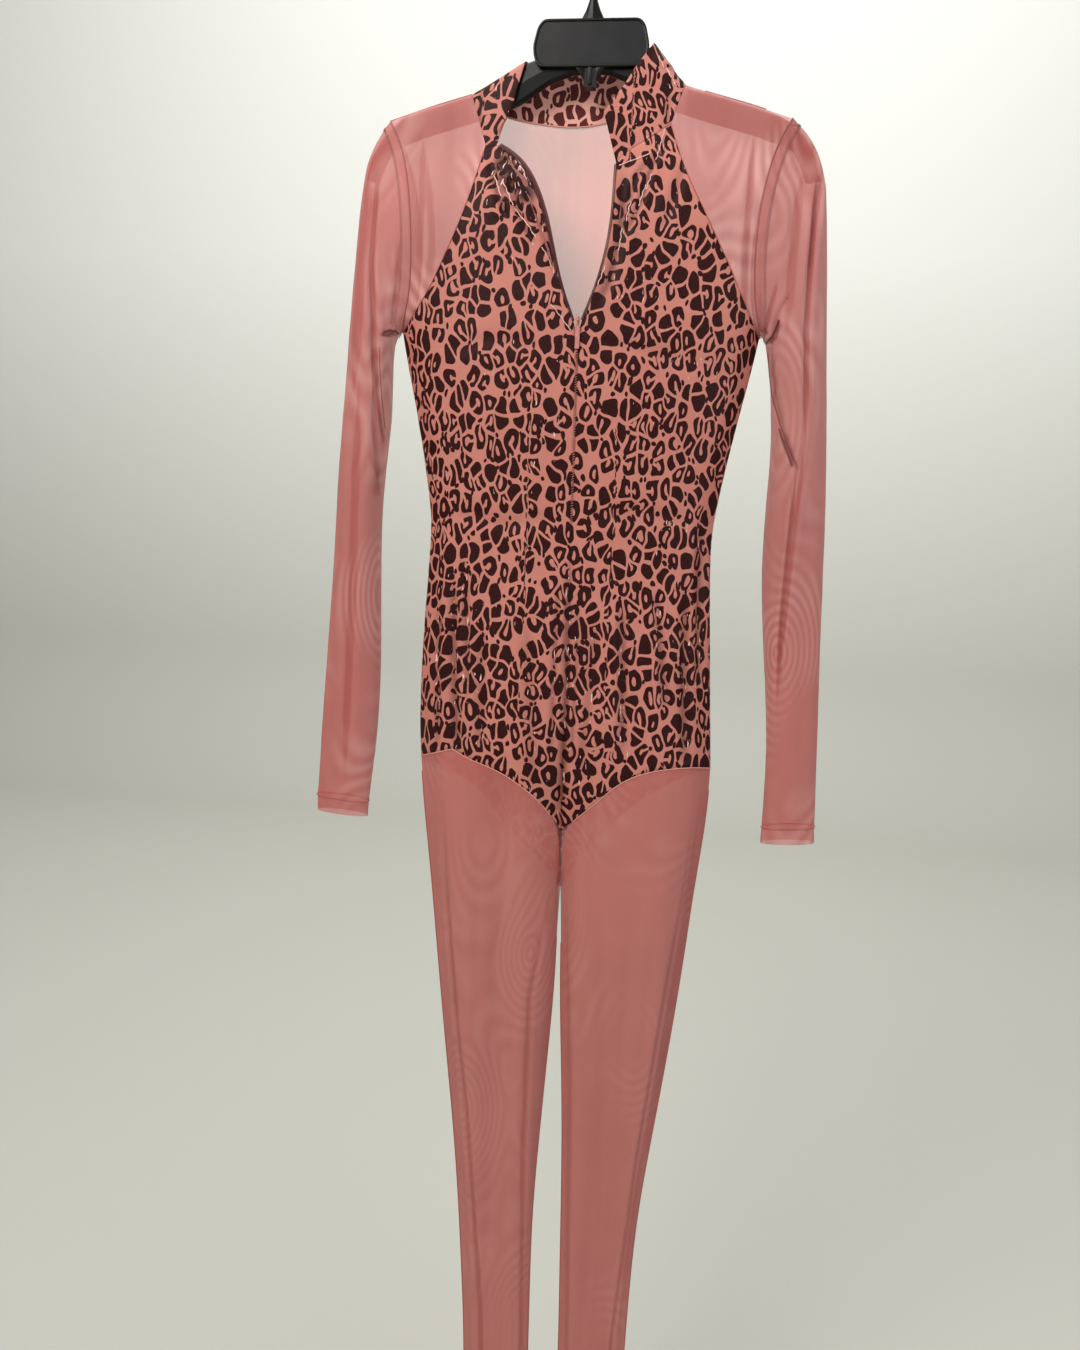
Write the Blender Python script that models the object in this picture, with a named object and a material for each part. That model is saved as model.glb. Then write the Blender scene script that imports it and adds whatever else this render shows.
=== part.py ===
"""A long-sleeved unitard of stretch mesh and leopard knit, hanging flat on its plastic top hanger.

Every size is in millimetres and turns to metres where a mesh is made. X runs to the viewer's right,
-Y is the front and Z is up. The origin is the inner top of the hanger's hook, where a rail holds it.
Left and right are as seen from the front.
"""

import math

import bmesh
import bpy
import numpy as np

MM = 0.001

# Cloth
WALL = 1.2
SEAM_GAP = 0.34
UNDERARM_GAP = 2.4
SECTION_POWER = 2.2

# Heights down the garment
UNDERARM = -343.0
BRIEF_SIDE = {"left": -745.0, "right": -740.0}
SEAT_TOP = -690.0
FORK = -868.0
ANKLE = -1575.0
ZIP_END = -534.0
CROTCH_SLIT = 1.4

# The shoulder lies over the hanger's arm
ARM_RADIUS = 5.5
WRAP_RADIUS = 7.8
SHOULDER_FALL = 110.0

# Grid counts
RIDGE_COLUMNS = 5
FRONT_COLUMNS = 9
NECK_BACK_COLUMNS = 8
CROTCH_ROWS = 3
YOKE_NECK_ROWS = 1
RAGLAN_ROWS = 8
SIDE_ROWS = 14
LEG_ROWS = 14
COLLAR_ROWS = 4
CROWDING = 0.65

SIDES = {"left": -1.0, "right": 1.0}


def table(names, rows):
    """A short table: one named column of numbers for each name."""
    return dict(zip(names.split(), np.array(rows, dtype=float).T))


# Level by level: middle of the garment, half its width, half the gap between the legs, and how far
# the front and the back stand off the middle plane. Above the underarm the width is that of the oval
# which body and sleeve heads share.
BODY = table(
    "z middle half gap front back",
    [
        (-90, 0, 380, 0, 26, 34),
        (-150, 0, 330, 0, 28, 34),
        (-200, 0, 262, 0, 31, 33),
        (-250, 0, 214, 0, 33, 31),
        (-300, -1, 182, 0, 33, 31),
        (-343, -2, 166, 0, 33, 30),
        (-400, -1.5, 153, 0, 31, 26),
        (-450, -1.6, 143, 0, 28, 23),
        (-511, -1.8, 132.6, 0, 24, 20),
        (-548, -2.6, 133, 0, 24, 21),
        (-600, -2.6, 136, 0, 26, 25),
        (-660, -2, 139, 0, 29, 29),
        (-721, -0.2, 141, 0, 31, 32),
        (-749, 2, 142, 0, 31, 33),
        (-810, 2.8, 135.4, 0, 31, 33),
        (-868, 3.2, 128.6, 1.4, 30, 32),
        (-932, 4, 122.5, 2.5, 28, 30),
        (-984, 4.2, 117, 3.5, 26, 27),
        (-1037, 4.2, 111, 7, 24, 24),
        (-1090, 4.2, 104.5, 10, 21, 21),
        (-1144, 3.8, 98, 12.5, 19, 19),
        (-1198, 3, 92, 14.8, 17, 17),
        (-1253, 3.4, 88.5, 15.5, 16, 16),
        (-1309, 4.4, 85.4, 16, 15, 15),
        (-1360, 5.4, 83.3, 16, 15, 15),
        (-1575, 5.4, 79, 16.5, 14, 14),
    ],
)

# The shoulder line over the hanger's arm, by distance from the middle.
RIDGE = table(
    "x z",
    [(0, -88), (57, -101), (80, -124), (107, -132), (146, -142.7), (181, -154.5), (230, -172)],
)

# Soft vertical troughs: where they start and end, their middle at both ends, depth and half width.
FOLDS = {
    "front": table(
        "top bottom x_top x_bottom depth width",
        [
            (-590, -850, 3, 2, 5.0, 11),
            (-560, -800, -96, -104, 3.5, 9),
            (-520, -730, 62, 58, 2.5, 11),
            (-540, -760, 112, 118, 3.0, 8),
            (-770, -1560, -112, -64, 3.5, 9),
            (-860, -1560, -38, -24, 3.0, 9),
            (-790, -1560, 118, 74, 2.5, 7),
            (-900, -1560, 52, 42, 3.0, 10),
        ],
    ),
    "back": table(
        "top bottom x_top x_bottom depth width",
        [
            (-480, -760, 0, 2, 3.5, 12),
            (-540, -740, -78, -86, 3.0, 11),
            (-560, -780, 84, 92, 3.0, 11),
            (-830, -1560, -84, -52, 3.0, 10),
            (-830, -1560, 90, 60, 3.0, 10),
        ],
    ),
}

# Seams of the front and back as seen flat, each a few points that a smooth curve runs through.
RAGLAN = {
    "left": [(-91, -181), (-96, -205), (-106, -240), (-123, -279), (-144, -318)],
    "right": [(74, -163), (89, -205), (111, -247), (134, -290), (152, -324)],
}
YOKE_NECK = {
    "left": [(-107, -132), (-99, -154), (-91, -181)],
    "right": [(86, -126), (78, -144), (74, -163)],
}
NECK_FRONT = {
    "left": [(-91, -181), (-86, -183), (-80, -181)],
    "right": [(74, -163), (56, -178), (40, -189), (28, -200)],
}
ZIP_START = (0.8, -343)
OPEN_EDGE = {
    "left": [(-80, -181), (-71, -186), (-56, -199), (-43, -219), (-32, -249), (-22.5, -284), (-13, -314)],
    "right": [(28, -200), (27.5, -215), (26.5, -249), (20.5, -286), (12, -314)],
}
BRIEF_POINT = (2.3, -810)
CENTRE_FRONT = [(1.2, -440), (1.5, -534), (3, -600), (2.7, -700)]
BRIEF_FRONT = {
    "left": [(-122, -738), (-108, -731), (-97, -738), (-64, -747), (-49, -754), (-27, -769), (-11.5, -784)],
    "right": [(122, -737), (84, -742), (60, -752), (46.7, -764), (26.7, -783.6), (9.5, -800)],
}
FORK_POINT = (3.2, FORK)
BRIEF_BACK = {
    "left": [(-124, -757), (-90, -777), (-65, -808), (-49, -826), (-32, -840), (-16, -852)],
    "right": [(122, -752), (94, -769), (65, -793), (48, -811), (33, -826), (18, -846)],
}
NECK_BACK = [(-97, -141.5), (-82, -147.5), (-47, -152), (-15, -154), (12, -151), (45, -144), (70, -136)]
ARMHOLE = [(181, -154.5), (168.5, -180), (160.5, -211), (155.5, -246), (154.5, -284), (158, -318)]
ARMHOLE_SHIFT = -1.0
BACK_YOKE_DIP = -372.0

# Stand collar: its upper edge, from the right front end by the back to the left front end, in three
# stretches that part above the shoulder neck points.
COLLAR_TOP_RIGHT = [
    (15.5, -28, -158),
    (22, -25, -146),
    (31, -20, -133),
    (42, -15, -113),
    (49, -12.5, -102),
    (54.3, -8, -94),
    (55.5, 0, -89.5),
]
COLLAR_TOP_BACK = [
    (55.5, 0, -89.5),
    (54, 9, -88.5),
    (46, 20, -88),
    (25, 28, -90),
    (0, 31, -92),
    (-28, 28, -95),
    (-48, 20, -98),
    (-56, 9, -102),
    (-58, 0, -104),
]
COLLAR_TOP_LEFT = [
    (-58, 0, -104),
    (-58.5, -8.5, -108),
    (-60, -10.5, -118),
    (-61.5, -11, -129),
    (-65, -11, -141),
    (-70, -9.5, -151),
    (-76, -4, -158),
]

# Sleeves: from the shoulder and the underarm down to the wrist, the outer and the inner edge of each
# section, how far both edges sit to the viewer's right of the mirrored place, and the half depth.
SLEEVE = table(
    "outer outer_z inner inner_z outer_shift inner_shift depth",
    [
        (190, -162.5, 167.5, -344.5, 1, -1, 24),
        (201, -179, 169, -346.5, 2, -1.5, 25),
        (208.6, -201, 170.5, -350, 3, -2, 26),
        (212, -235, 172, -356, 3, -2.5, 27),
        (215.5, -280, 174, -367, 3, -2, 28),
        (219, -335, 176, -386, 3, -0.5, 29),
        (223, -395, 178, -422, 3.5, 1.5, 29),
        (227, -455, 180, -466, 3.2, -1, 27.5),
        (230, -520, 181, -524, 2.6, -3.7, 25),
        (232.5, -585, 181.5, -588, 2.2, -2, 22),
        (236, -650, 184.5, -653, 1, 3.4, 19.5),
        (239, -715, 187.8, -718, 0.2, 5, 16.5),
        (241.5, -762, 190.7, -765, 0, 2.5, 13),
        (243, -790, 192, -794, -0.5, 1, 10.5),
        (243.4, -806, 192.2, -809.5, 0, 0.5, 9.5),
    ],
)
CUFF_ROWS = 1

# Zip
TAPE_IN = 2.5
TAPE_OUT = 9.0
TAPE_WALL = 1.0
CHAIN_HALF = 2.0
CHAIN_SET_BACK = 0.2
SLIDER_TOP = -332.0
SLIDER_BOTTOM = -341.5
SLIDER_DEPTH = 1.4
BAIL_WIDTH = 1.6
BAIL_STEP = 0.5
BAIL_WALL = 1.0
BAIL_HOLE = 2.0
PULL_AXLE = 0.6
PULL_REST = 0.25
PULL_LENGTH = 26.0
PULL_HALF = 2.0
PULL_RIM = 0.9
PULL_EYE = 6.0

# Hanger: arm by distance from the middle, its top and its underside.
ARM = table(
    "x top bottom",
    [
        (0, -86, -115),
        (16, -88, -116.5),
        (36, -93, -124),
        (57, -106, -138),
        (64, -111.5, -142),
        (80, -127, -149),
        (107, -134.1, -157),
        (146, -144.9, -168),
        (172, -153.7, -177),
    ],
)
ARM_TIP = table(
    "x z half turn",
    [(185.5, -175.5, 8, 38), (194, -190, 7.5, 62), (199.5, -207, 6.4, 80)],
)
ARM_SIDE_SHIFT = 1.6
TIP_TAPER = 0.15
TIP_START = 165.0
TIP_RUN = 24.0
ARM_SEAT = 2.4
PLATE = table("x z", [(42, -73), (47.5, -79), (51.3, -95), (50, -105), (45, -112.5)])
PLATE_FRONT = -8.5
PLATE_BACK = -3.0
TAB = table("x z", [(13, -111), (8, -118), (5.6, -122), (5.2, -129.5)])
TAB_FRONT = -8.0
TAB_BACK = 1.0
WEB = table("x z", [(38, -76), (45, -100), (20, -112)])
WEB_BACK = 3.0
HOOK_RADIUS = 3.75
HOOK_INNER = 19.0
CONE = table("z half", [(-82, 10.5), (-70, 10.5), (-62, 6.5), (-54, 3.75)])
STEM_BEND = [(0.8, -50.0), (5.5, -44.5), (12.0, -39.5)]
HOOK_TURN = range(-40, 201, 20)
ROUND = 12


# Curves


def smooth_curve(points, count):
    """Points along a smooth curve through the given ones, evenly spaced in length."""
    given = np.array(points, dtype=float)
    if len(given) == 2:
        fine = given
    else:
        ends = np.vstack([2 * given[0] - given[1], given, 2 * given[-1] - given[-2]])
        pieces = []
        for k in range(1, len(ends) - 2):
            before, start, end, after = ends[k - 1 : k + 3]
            for t in np.linspace(0, 1, 16, endpoint=False):
                slope = (end - before) * t
                bend = (2 * before - 5 * start + 4 * end - after) * t**2
                twist = (3 * (start - end) + after - before) * t**3
                pieces.append(start + 0.5 * (slope + bend + twist))
        fine = np.array(pieces + [given[-1]])
    lengths = np.concatenate([[0], np.cumsum(np.linalg.norm(np.diff(fine, axis=0), axis=1))])
    places = np.linspace(0, lengths[-1], count)
    return np.stack([np.interp(places, lengths, fine[:, k]) for k in range(fine.shape[1])], axis=1)


def level(column, z):
    """A column of the body table at a height."""
    return np.interp(-z, -BODY["z"], BODY[column])


def smoothstep(value):
    t = min(max(value, 0.0), 1.0)
    return t * t * (3 - 2 * t)


def ridge_height(x):
    return np.interp(abs(x), RIDGE["x"], RIDGE["z"])


# The shape of the cloth: how far front and back stand off the middle plane at any place


def lobe(place):
    """A flat oval's height at a place across it, from -1 to 1."""
    reach = 1 - abs(place) ** SECTION_POWER
    return reach ** (1 / SECTION_POWER) if reach > 0 else 0.0


def fold_depth(face, x, z):
    """How far the soft troughs of this face push it inwards."""
    rows = FOLDS[face]
    depth = 0.0
    for top, bottom, x_top, x_bottom, most, width in zip(*rows.values()):
        along = (top - z) / (top - bottom)
        if 0 < along < 1:
            middle = x_top + (x_bottom - x_top) * along
            fade = min(1.0, 5 * along, 5 * (1 - along))
            depth += most * smoothstep(fade) * math.exp(-(((x - middle) / width) ** 2))
    return depth


def stand_off(face, x, z):
    """Distance from the middle plane to the outside of the front or the back."""
    middle, half, gap = level("middle", z), level("half", z), level("gap", z)
    across = abs(x - middle)
    outline = lobe(across / half)
    if z < SEAT_TOP:
        two_legs = smoothstep((SEAT_TOP - z) / (SEAT_TOP - FORK))
        leg = lobe((across - (half + gap) / 2) / ((half - gap) / 2))
        outline = (1 - two_legs) * outline + two_legs * leg
    depth = level(face, z) * outline
    depth = max(depth - fold_depth(face, x, z) * smoothstep(outline * 1.4), 0.25 * depth)
    if z > UNDERARM:
        below = ridge_height(x) - z
        drop = min(max(below / WRAP_RADIUS, 0.0), 1.0)
        wrap = WRAP_RADIUS * math.sqrt(max(1 - (1 - drop) ** 2, 0.0))
        grown = smoothstep((below - WRAP_RADIUS) / SHOULDER_FALL)
        side = smoothstep((z - UNDERARM) / 40.0)
        low = depth * grown + min(wrap, WRAP_RADIUS) * (1 - grown)
        depth = low * side + depth * (1 - side)
    return depth


def cloth_point(face, x, z):
    sign = -1.0 if face == "front" else 1.0
    return (float(x), sign * stand_off(face, x, z), float(z))


# Seam lines, flat


def wrap_rows(points, at_start=True, at_end=False):
    """Adds points where the cloth turns over the hanger's arm, at an eighth and a quarter turn."""
    depths = [WRAP_RADIUS * (1 - math.cos(math.pi / 4)), WRAP_RADIUS]
    fine = smooth_curve(points, 600)
    below = np.array([ridge_height(x) - z for x, z in fine])
    extra_start = [fine[np.argmax(below >= d)] for d in depths] if at_start else []
    turned = below[::-1]
    extra_end = [fine[len(fine) - 1 - np.argmax(turned >= d)] for d in depths[::-1]] if at_end else []
    return fine, extra_start, extra_end


def seam_from_ridge(points, count):
    """A seam that starts on the shoulder line: its two wrap points, then even points to its end."""
    fine, start, _ = wrap_rows(points)
    first = int(np.argmax([ridge_height(x) - z >= WRAP_RADIUS for x, z in fine]))
    rest = smooth_curve(fine[first::8].tolist() + [fine[-1].tolist()], count - 2)
    return np.vstack([fine[:1], start[:1], rest])


def neck_back_line():
    """The back neck seam, with its wrap points at both shoulders."""
    ends = YOKE_NECK["left"][:1], YOKE_NECK["right"][:1]
    fine, start, end = wrap_rows(ends[0] + NECK_BACK + ends[1], at_end=True)
    inner = [p for p in fine if start[1][0] < p[0] < end[0][0]]
    middle = smooth_curve([start[1]] + inner[::40] + [end[0]], NECK_BACK_COLUMNS + 1)
    return np.vstack([fine[:1], start[:1], middle, end[1:], fine[-1:]])


def body_side(side, z):
    return (level("middle", z) + SIDES[side] * level("half", z), z)


def underarm(side):
    return body_side(side, UNDERARM)


def armhole(side):
    """Shoulder point to underarm: rows down the yoke, then the tail that the raglan's corner needs."""
    points = [(SIDES[side] * x + ARMHOLE_SHIFT, z) for x, z in ARMHOLE] + [underarm(side)]
    return seam_from_ridge(points, YOKE_ROWS + RIDGE_COLUMNS + 1)


def raglan(side):
    return smooth_curve(RAGLAN[side] + [underarm(side)], RAGLAN_ROWS + 1)


def yoke_inner(side):
    """Shoulder neck point to underarm: along the collar, then down the raglan seam."""
    neck = seam_from_ridge(YOKE_NECK[side], 3 + YOKE_NECK_ROWS)
    return np.vstack([neck, raglan(side)[1:]])


def shoulder_line(side):
    """Neck point to shoulder point along the hanger's arm."""
    start, end = yoke_inner(side)[0], armhole(side)[0]
    xs = np.linspace(start[0], end[0], RIDGE_COLUMNS + 1)
    line = np.array([(x, ridge_height(x)) for x in xs])
    line[0], line[-1] = start, end
    return line


def brief_front(side):
    line = [body_side(side, BRIEF_SIDE[side])] + BRIEF_FRONT[side] + [BRIEF_POINT]
    return smooth_curve(line, FRONT_COLUMNS + 1)


def brief_back(side):
    line = [body_side(side, BRIEF_SIDE[side])] + BRIEF_BACK[side] + [FORK_POINT]
    return smooth_curve(line, BACK_COLUMNS + 1)


def side_seam(side):
    return np.array([body_side(side, z) for z in np.linspace(UNDERARM, BRIEF_SIDE[side], SIDE_ROWS + 1)])


def outer_leg(side):
    upper = [body_side(side, z) for z in np.linspace(BRIEF_SIDE[side], FORK, CROTCH_ROWS + 1)]
    lower = [body_side(side, z) for z in np.linspace(FORK, ANKLE, LEG_ROWS + 1)]
    return np.array(upper + lower[1:])


def leg_corner(side):
    """Where front and back of a leg meet, on the back brief line just short of the fork."""
    before, fork = brief_back(side)[-2:]
    return fork + (before - fork) * CROTCH_SLIT / abs(before[0] - fork[0])


def inseam(side):
    rows = []
    for z in np.linspace(FORK, ANKLE, LEG_ROWS + 1):
        rows.append((level("middle", z) + SIDES[side] * level("gap", z), z))
    rows[0] = leg_corner(side)
    return np.array(rows)


def crotch_front(side):
    """The front edge of a leg from the foot of the brief line to the fork, just parted from its twin."""
    (x_top, top), (x_fork, fork) = BRIEF_POINT, FORK_POINT
    halfway = ((x_top + x_fork) / 2 + SIDES[side] * CROTCH_SLIT, (top + fork) / 2)
    return smooth_curve([BRIEF_POINT, halfway, tuple(leg_corner(side))], CROTCH_ROWS + 1)


YOKE_ROWS = 2 + YOKE_NECK_ROWS + RAGLAN_ROWS
BACK_COLUMNS = RIDGE_COLUMNS + 2 + NECK_BACK_COLUMNS // 2


# Patches: a grid of points between four seam lines


EVEN = np.linspace(-1, 1, 401)
CROWDED = (1 - CROWDING) * EVEN + CROWDING * np.sin(EVEN * math.pi / 2)


def even_place(x, z):
    """Turns a flat place into one where the grid crowds towards the side seams."""
    return np.interp((x - level("middle", z)) / level("half", z), CROWDED, EVEN)


def flat_place(place, z):
    return level("middle", z) + level("half", z) * np.interp(place, EVEN, CROWDED)


def leg_span(side, z):
    """Centre and half width of one leg, which has two edges of its own."""
    outer, inner = level("half", z), level("gap", z)
    return level("middle", z) + SIDES[side] * (outer + inner) / 2, (outer - inner) / 2


def leg_place(side, x, z):
    centre, half = leg_span(side, z)
    return np.interp((x - centre) / half, CROWDED, EVEN)


def leg_flat(side, place, z):
    centre, half = leg_span(side, z)
    return centre + half * np.interp(place, EVEN, CROWDED)


def shares(line):
    """How far along a line each of its points lies, from 0 to 1."""
    steps = np.concatenate([[0], np.cumsum(np.linalg.norm(np.diff(line, axis=0), axis=1))])
    return steps / steps[-1]


def coons(top, bottom, first, last):
    """Fills the space between four lines. Rows run from top to bottom, columns from first to last."""
    rows, columns = len(first), len(top)
    down = (shares(first) + shares(last)) / 2
    over = (shares(top) + shares(bottom)) / 2
    grid = np.zeros((rows, columns, top.shape[1]))
    for i in range(rows):
        for j in range(columns):
            s, t = over[j], down[i]
            blend = (1 - t) * top[j] + t * bottom[j] + (1 - s) * first[i] + s * last[i]
            corner = (1 - s) * ((1 - t) * top[0] + t * bottom[0]) + s * ((1 - t) * top[-1] + t * bottom[-1])
            grid[i, j] = blend - corner
    grid[0], grid[-1], grid[:, 0], grid[:, -1] = top, bottom, first, last
    return grid


def cloth_patch(face, lines, to_place=even_place, to_flat=flat_place):
    """A grid of points on the front or back between four flat seam lines."""
    placed = [np.array([(100 * to_place(x, z), z) for x, z in line]) for line in lines]
    grid = coons(*placed)
    rows, columns = grid.shape[:2]
    exact = {(0, j): lines[0][j] for j in range(columns)}
    exact.update({(rows - 1, j): lines[1][j] for j in range(columns)})
    exact.update({(i, 0): lines[2][i] for i in range(rows)})
    exact.update({(i, columns - 1): lines[3][i] for i in range(rows)})
    points = np.zeros((rows, columns, 3))
    for i in range(rows):
        for j in range(columns):
            place, z = grid[i, j]
            x = exact[i, j][0] if (i, j) in exact else to_flat(place / 100, z)
            z = exact[i, j][1] if (i, j) in exact else z
            points[i, j] = cloth_point(face, x, z)
    return points


def leg_patch(side, face, lines):
    def to_place(x, z):
        return leg_place(side, x, z)

    def to_flat(place, z):
        return leg_flat(side, place, z)

    return cloth_patch(face, lines, to_place, to_flat)


# Panels


def front_panel(side):
    """Neck and raglan down to the brief line, from the open zip edge out to the side seam."""
    opening = smooth_curve(OPEN_EDGE[side] + [ZIP_START], RAGLAN_ROWS + 1)
    closed = smooth_curve([ZIP_START] + CENTRE_FRONT + [BRIEF_POINT], SIDE_ROWS + 1)
    inner = np.vstack([opening, closed[1:]])
    outer = np.vstack([raglan(side), side_seam(side)[1:]])
    top = smooth_curve(NECK_FRONT[side], FRONT_COLUMNS + 1)[::-1]
    bottom = brief_front(side)[::-1]
    return cloth_patch("front", [top, bottom, inner, outer])


def front_yoke_panel(side):
    arm = armhole(side)
    tail = arm[YOKE_ROWS:][::-1]
    return cloth_patch("front", [shoulder_line(side), tail, yoke_inner(side), arm[: YOKE_ROWS + 1]])


def back_seam():
    """The seam across the back, from underarm to underarm."""
    start, end = underarm("left"), underarm("right")
    return smooth_curve([start, ((start[0] + end[0]) / 2, BACK_YOKE_DIP), end], 2 * BACK_COLUMNS + 1)


def back_yoke_panel():
    left, right = shoulder_line("left")[::-1], shoulder_line("right")
    top = np.vstack([left, neck_back_line()[1:-1], right])
    return cloth_patch("back", [top, back_seam(), armhole("left"), armhole("right")])


def back_print_panel():
    top = back_seam()
    bottom = np.vstack([brief_back("left"), brief_back("right")[::-1][1:]])
    return cloth_patch("back", [top, bottom, side_seam("left"), side_seam("right")])


def leg_front_panel(side):
    inner = np.vstack([crotch_front(side), inseam(side)[1:]])
    top = brief_front(side)[::-1]
    outer = outer_leg(side)
    bottom = smooth_curve([inner[-1], outer[-1]], FRONT_COLUMNS + 1)
    return leg_patch(side, "front", [top, bottom, inner, outer])


def leg_back_panel(side):
    line = brief_back(side)[::-1]
    line[0] = leg_corner(side)
    inner = np.vstack([line[: CROTCH_ROWS + 1][::-1], inseam(side)[1:]])
    top = line[CROTCH_ROWS:]
    outer = outer_leg(side)
    bottom = smooth_curve([inner[-1], outer[-1]], len(top))
    return leg_patch(side, "back", [top, bottom, inner, outer])


def on_cloth(face, line):
    return np.array([cloth_point(face, x, z) for x, z in line])


def collar_base():
    """The neck seam all round, from the right front end by the back to the left front end."""
    right = smooth_curve(NECK_FRONT["right"], FRONT_COLUMNS + 1)[::-1]
    left = smooth_curve(NECK_FRONT["left"], FRONT_COLUMNS + 1)
    up = yoke_inner("right")[: 3 + YOKE_NECK_ROWS][::-1]
    down = yoke_inner("left")[: 3 + YOKE_NECK_ROWS]
    return np.vstack(
        [
            on_cloth("front", right),
            on_cloth("front", up)[1:],
            on_cloth("back", neck_back_line()[::-1])[1:],
            on_cloth("front", down)[1:],
            on_cloth("front", left)[1:],
        ]
    )


def collar_panel():
    base = collar_base()
    right = FRONT_COLUMNS + 2 + YOKE_NECK_ROWS
    left = len(base) - 1 - right
    stretches = [
        (0, right, COLLAR_TOP_RIGHT),
        (right, left, COLLAR_TOP_BACK),
        (left, len(base) - 1, COLLAR_TOP_LEFT),
    ]
    top = np.zeros_like(base)
    for start, end, points in stretches:
        fine = smooth_curve(points, 200)
        places = shares(base[start : end + 1])
        for k in range(3):
            top[start : end + 1, k] = np.interp(places, shares(fine), fine[:, k])
    first = smooth_curve([top[0], base[0]], COLLAR_ROWS + 1)
    last = smooth_curve([top[-1], base[-1]], COLLAR_ROWS + 1)
    return coons(top, base, first, last)


def sleeve_ring(side):
    """The armhole all round: down the front to the underarm and up the back."""
    line = armhole(side)
    return np.vstack([on_cloth("front", line), on_cloth("back", line)[1:-1][::-1]])


def sleeve_sections(side):
    """One closed ring for the armhole and one for each row of the sleeve table."""
    start = sleeve_ring(side)
    count = len(start)
    half = count // 2
    top, low = start[0], start[half]
    chord = low - top
    length = np.linalg.norm(chord)
    along = [float((p - top) @ chord / length**2) for p in start]
    inward = [p - (top + a * chord) for p, a in zip(start, along)]
    rings = [start]
    rows = list(zip(*SLEEVE.values()))
    for number, (outer, outer_z, inner, inner_z, outer_shift, inner_shift, depth) in enumerate(rows, 1):
        sign = SIDES[side]
        out = np.array([sign * outer + outer_shift, 0, outer_z])
        into = np.array([sign * inner + inner_shift, 0, inner_z])
        turned = smoothstep(number / 6)
        ring = []
        for k in range(count):
            angle = math.pi * k / half
            place = (1 - turned) * along[k] + turned * (1 - math.cos(angle)) / 2
            oval = abs(math.sin(angle)) ** 0.9
            y = (1 - turned) * inward[k][1] + turned * math.copysign(oval, -math.sin(angle)) * depth
            bow = max(0.0, 1 - number / 4)
            flat = out + place * (into - out)
            ring.append((flat[0] + bow * inward[k][0], y, flat[2] + bow * inward[k][2]))
        rings.append(np.array(ring))
    return rings


# From patches to closed walls


class Cloth:
    """All outer surfaces of the garment joined at their seams, so that neighbours share one normal."""

    def __init__(self):
        self.points = []
        self.index = {}
        self.panels = {}

    def point(self, place):
        key = tuple(int(round(float(value) * 50)) for value in place)
        if key not in self.index:
            self.index[key] = len(self.points)
            self.points.append(np.array(place, dtype=float))
        return self.index[key]

    def add_grid(self, name, grid, turned):
        """Adds a panel given as rows of points. Turned panels run clockwise seen from outside."""
        numbers = [[self.point(p) for p in row] for row in grid]
        faces = []
        for upper, lower in zip(numbers, numbers[1:]):
            for a, b, c, d in zip(upper, upper[1:], lower[1:], lower):
                face = (a, d, c, b) if turned else (a, b, c, d)
                corners = [v for k, v in enumerate(face) if v != face[k - 1]]
                if len(corners) > 2:
                    faces.append(tuple(corners))
        self.panels[name] = faces

    def normals(self, names):
        """Outward normals of the named panels at every point, weighted by corner angle."""
        total = np.zeros((len(self.points), 3))
        for name in names:
            for face in self.panels[name]:
                corners = [self.points[v] for v in face]
                area = np.zeros(3)
                for k in range(1, len(corners) - 1):
                    area += np.cross(corners[k] - corners[0], corners[k + 1] - corners[0])
                size = np.linalg.norm(area)
                for k, v in enumerate(face):
                    one = corners[k - 1] - corners[k]
                    two = corners[(k + 1) % len(corners)] - corners[k]
                    reach = np.linalg.norm(one) * np.linalg.norm(two)
                    if size > 1e-9 and reach > 1e-9:
                        angle = math.acos(max(-1.0, min(1.0, float(one @ two) / reach)))
                        total[v] += area / size * angle
        return total / np.maximum(np.linalg.norm(total, axis=1), 1e-9)[:, None]

    def wall(self, name, normals):
        """The closed wall of one panel: drawn back from its seams and given its thickness."""
        faces = self.panels[name]
        sharing = {}
        for other, others in self.panels.items():
            for v in {v for face in others for v in face}:
                sharing.setdefault(v, set()).add(other)
        edges = {(a, b) for face in faces for a, b in zip(face, face[1:] + face[:1])}
        border = [(a, b) for a, b in edges if (b, a) not in edges]
        own = self.normals([name])
        normals = [own[v] if len(sharing.get(v, ())) > 3 else n for v, n in enumerate(normals)]
        inward = {}
        for a, b in border:
            direction = self.points[b] - self.points[a]
            direction = direction / np.linalg.norm(direction)
            for v in (a, b):
                side = np.cross(normals[v], direction)
                inward.setdefault(v, []).append(side / np.linalg.norm(side))
        used = sorted({v for face in faces for v in face})
        number = {v: k for k, v in enumerate(used)}
        outer, inner = [], []
        for v in used:
            place = self.points[v].copy()
            if len(sharing[v]) > 3:
                beside = {w for face in faces if v in face for w in face} - {v}
                away = np.mean([self.points[w] for w in beside], axis=0) - place
                place += UNDERARM_GAP * away / np.linalg.norm(away)
            elif v in inward:
                one, two = inward[v][0], inward[v][-1]
                gap = SEAM_GAP / 2 if len(sharing[v]) < 3 else SEAM_GAP
                place += gap * (one + two) / max(1 + float(one @ two), 0.3)
            outer.append(place)
            inner.append(place - WALL * normals[v])
        count = len(used)
        walls = [tuple(number[v] for v in face) for face in faces]
        walls += [tuple(count + number[v] for v in reversed(face)) for face in faces]
        walls += [(number[b], number[a], count + number[a], count + number[b]) for a, b in border]
        return np.array(outer + inner), walls


# Objects


def finish_material(name, colour, roughness, metallic=0.0):
    material = bpy.data.materials.new(name)
    material.use_nodes = True
    shader = material.node_tree.nodes["Principled BSDF"]
    shader.inputs["Base Color"].default_value = (*colour, 1.0)
    shader.inputs["Roughness"].default_value = roughness
    shader.inputs["Metallic"].default_value = metallic
    return material


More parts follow.
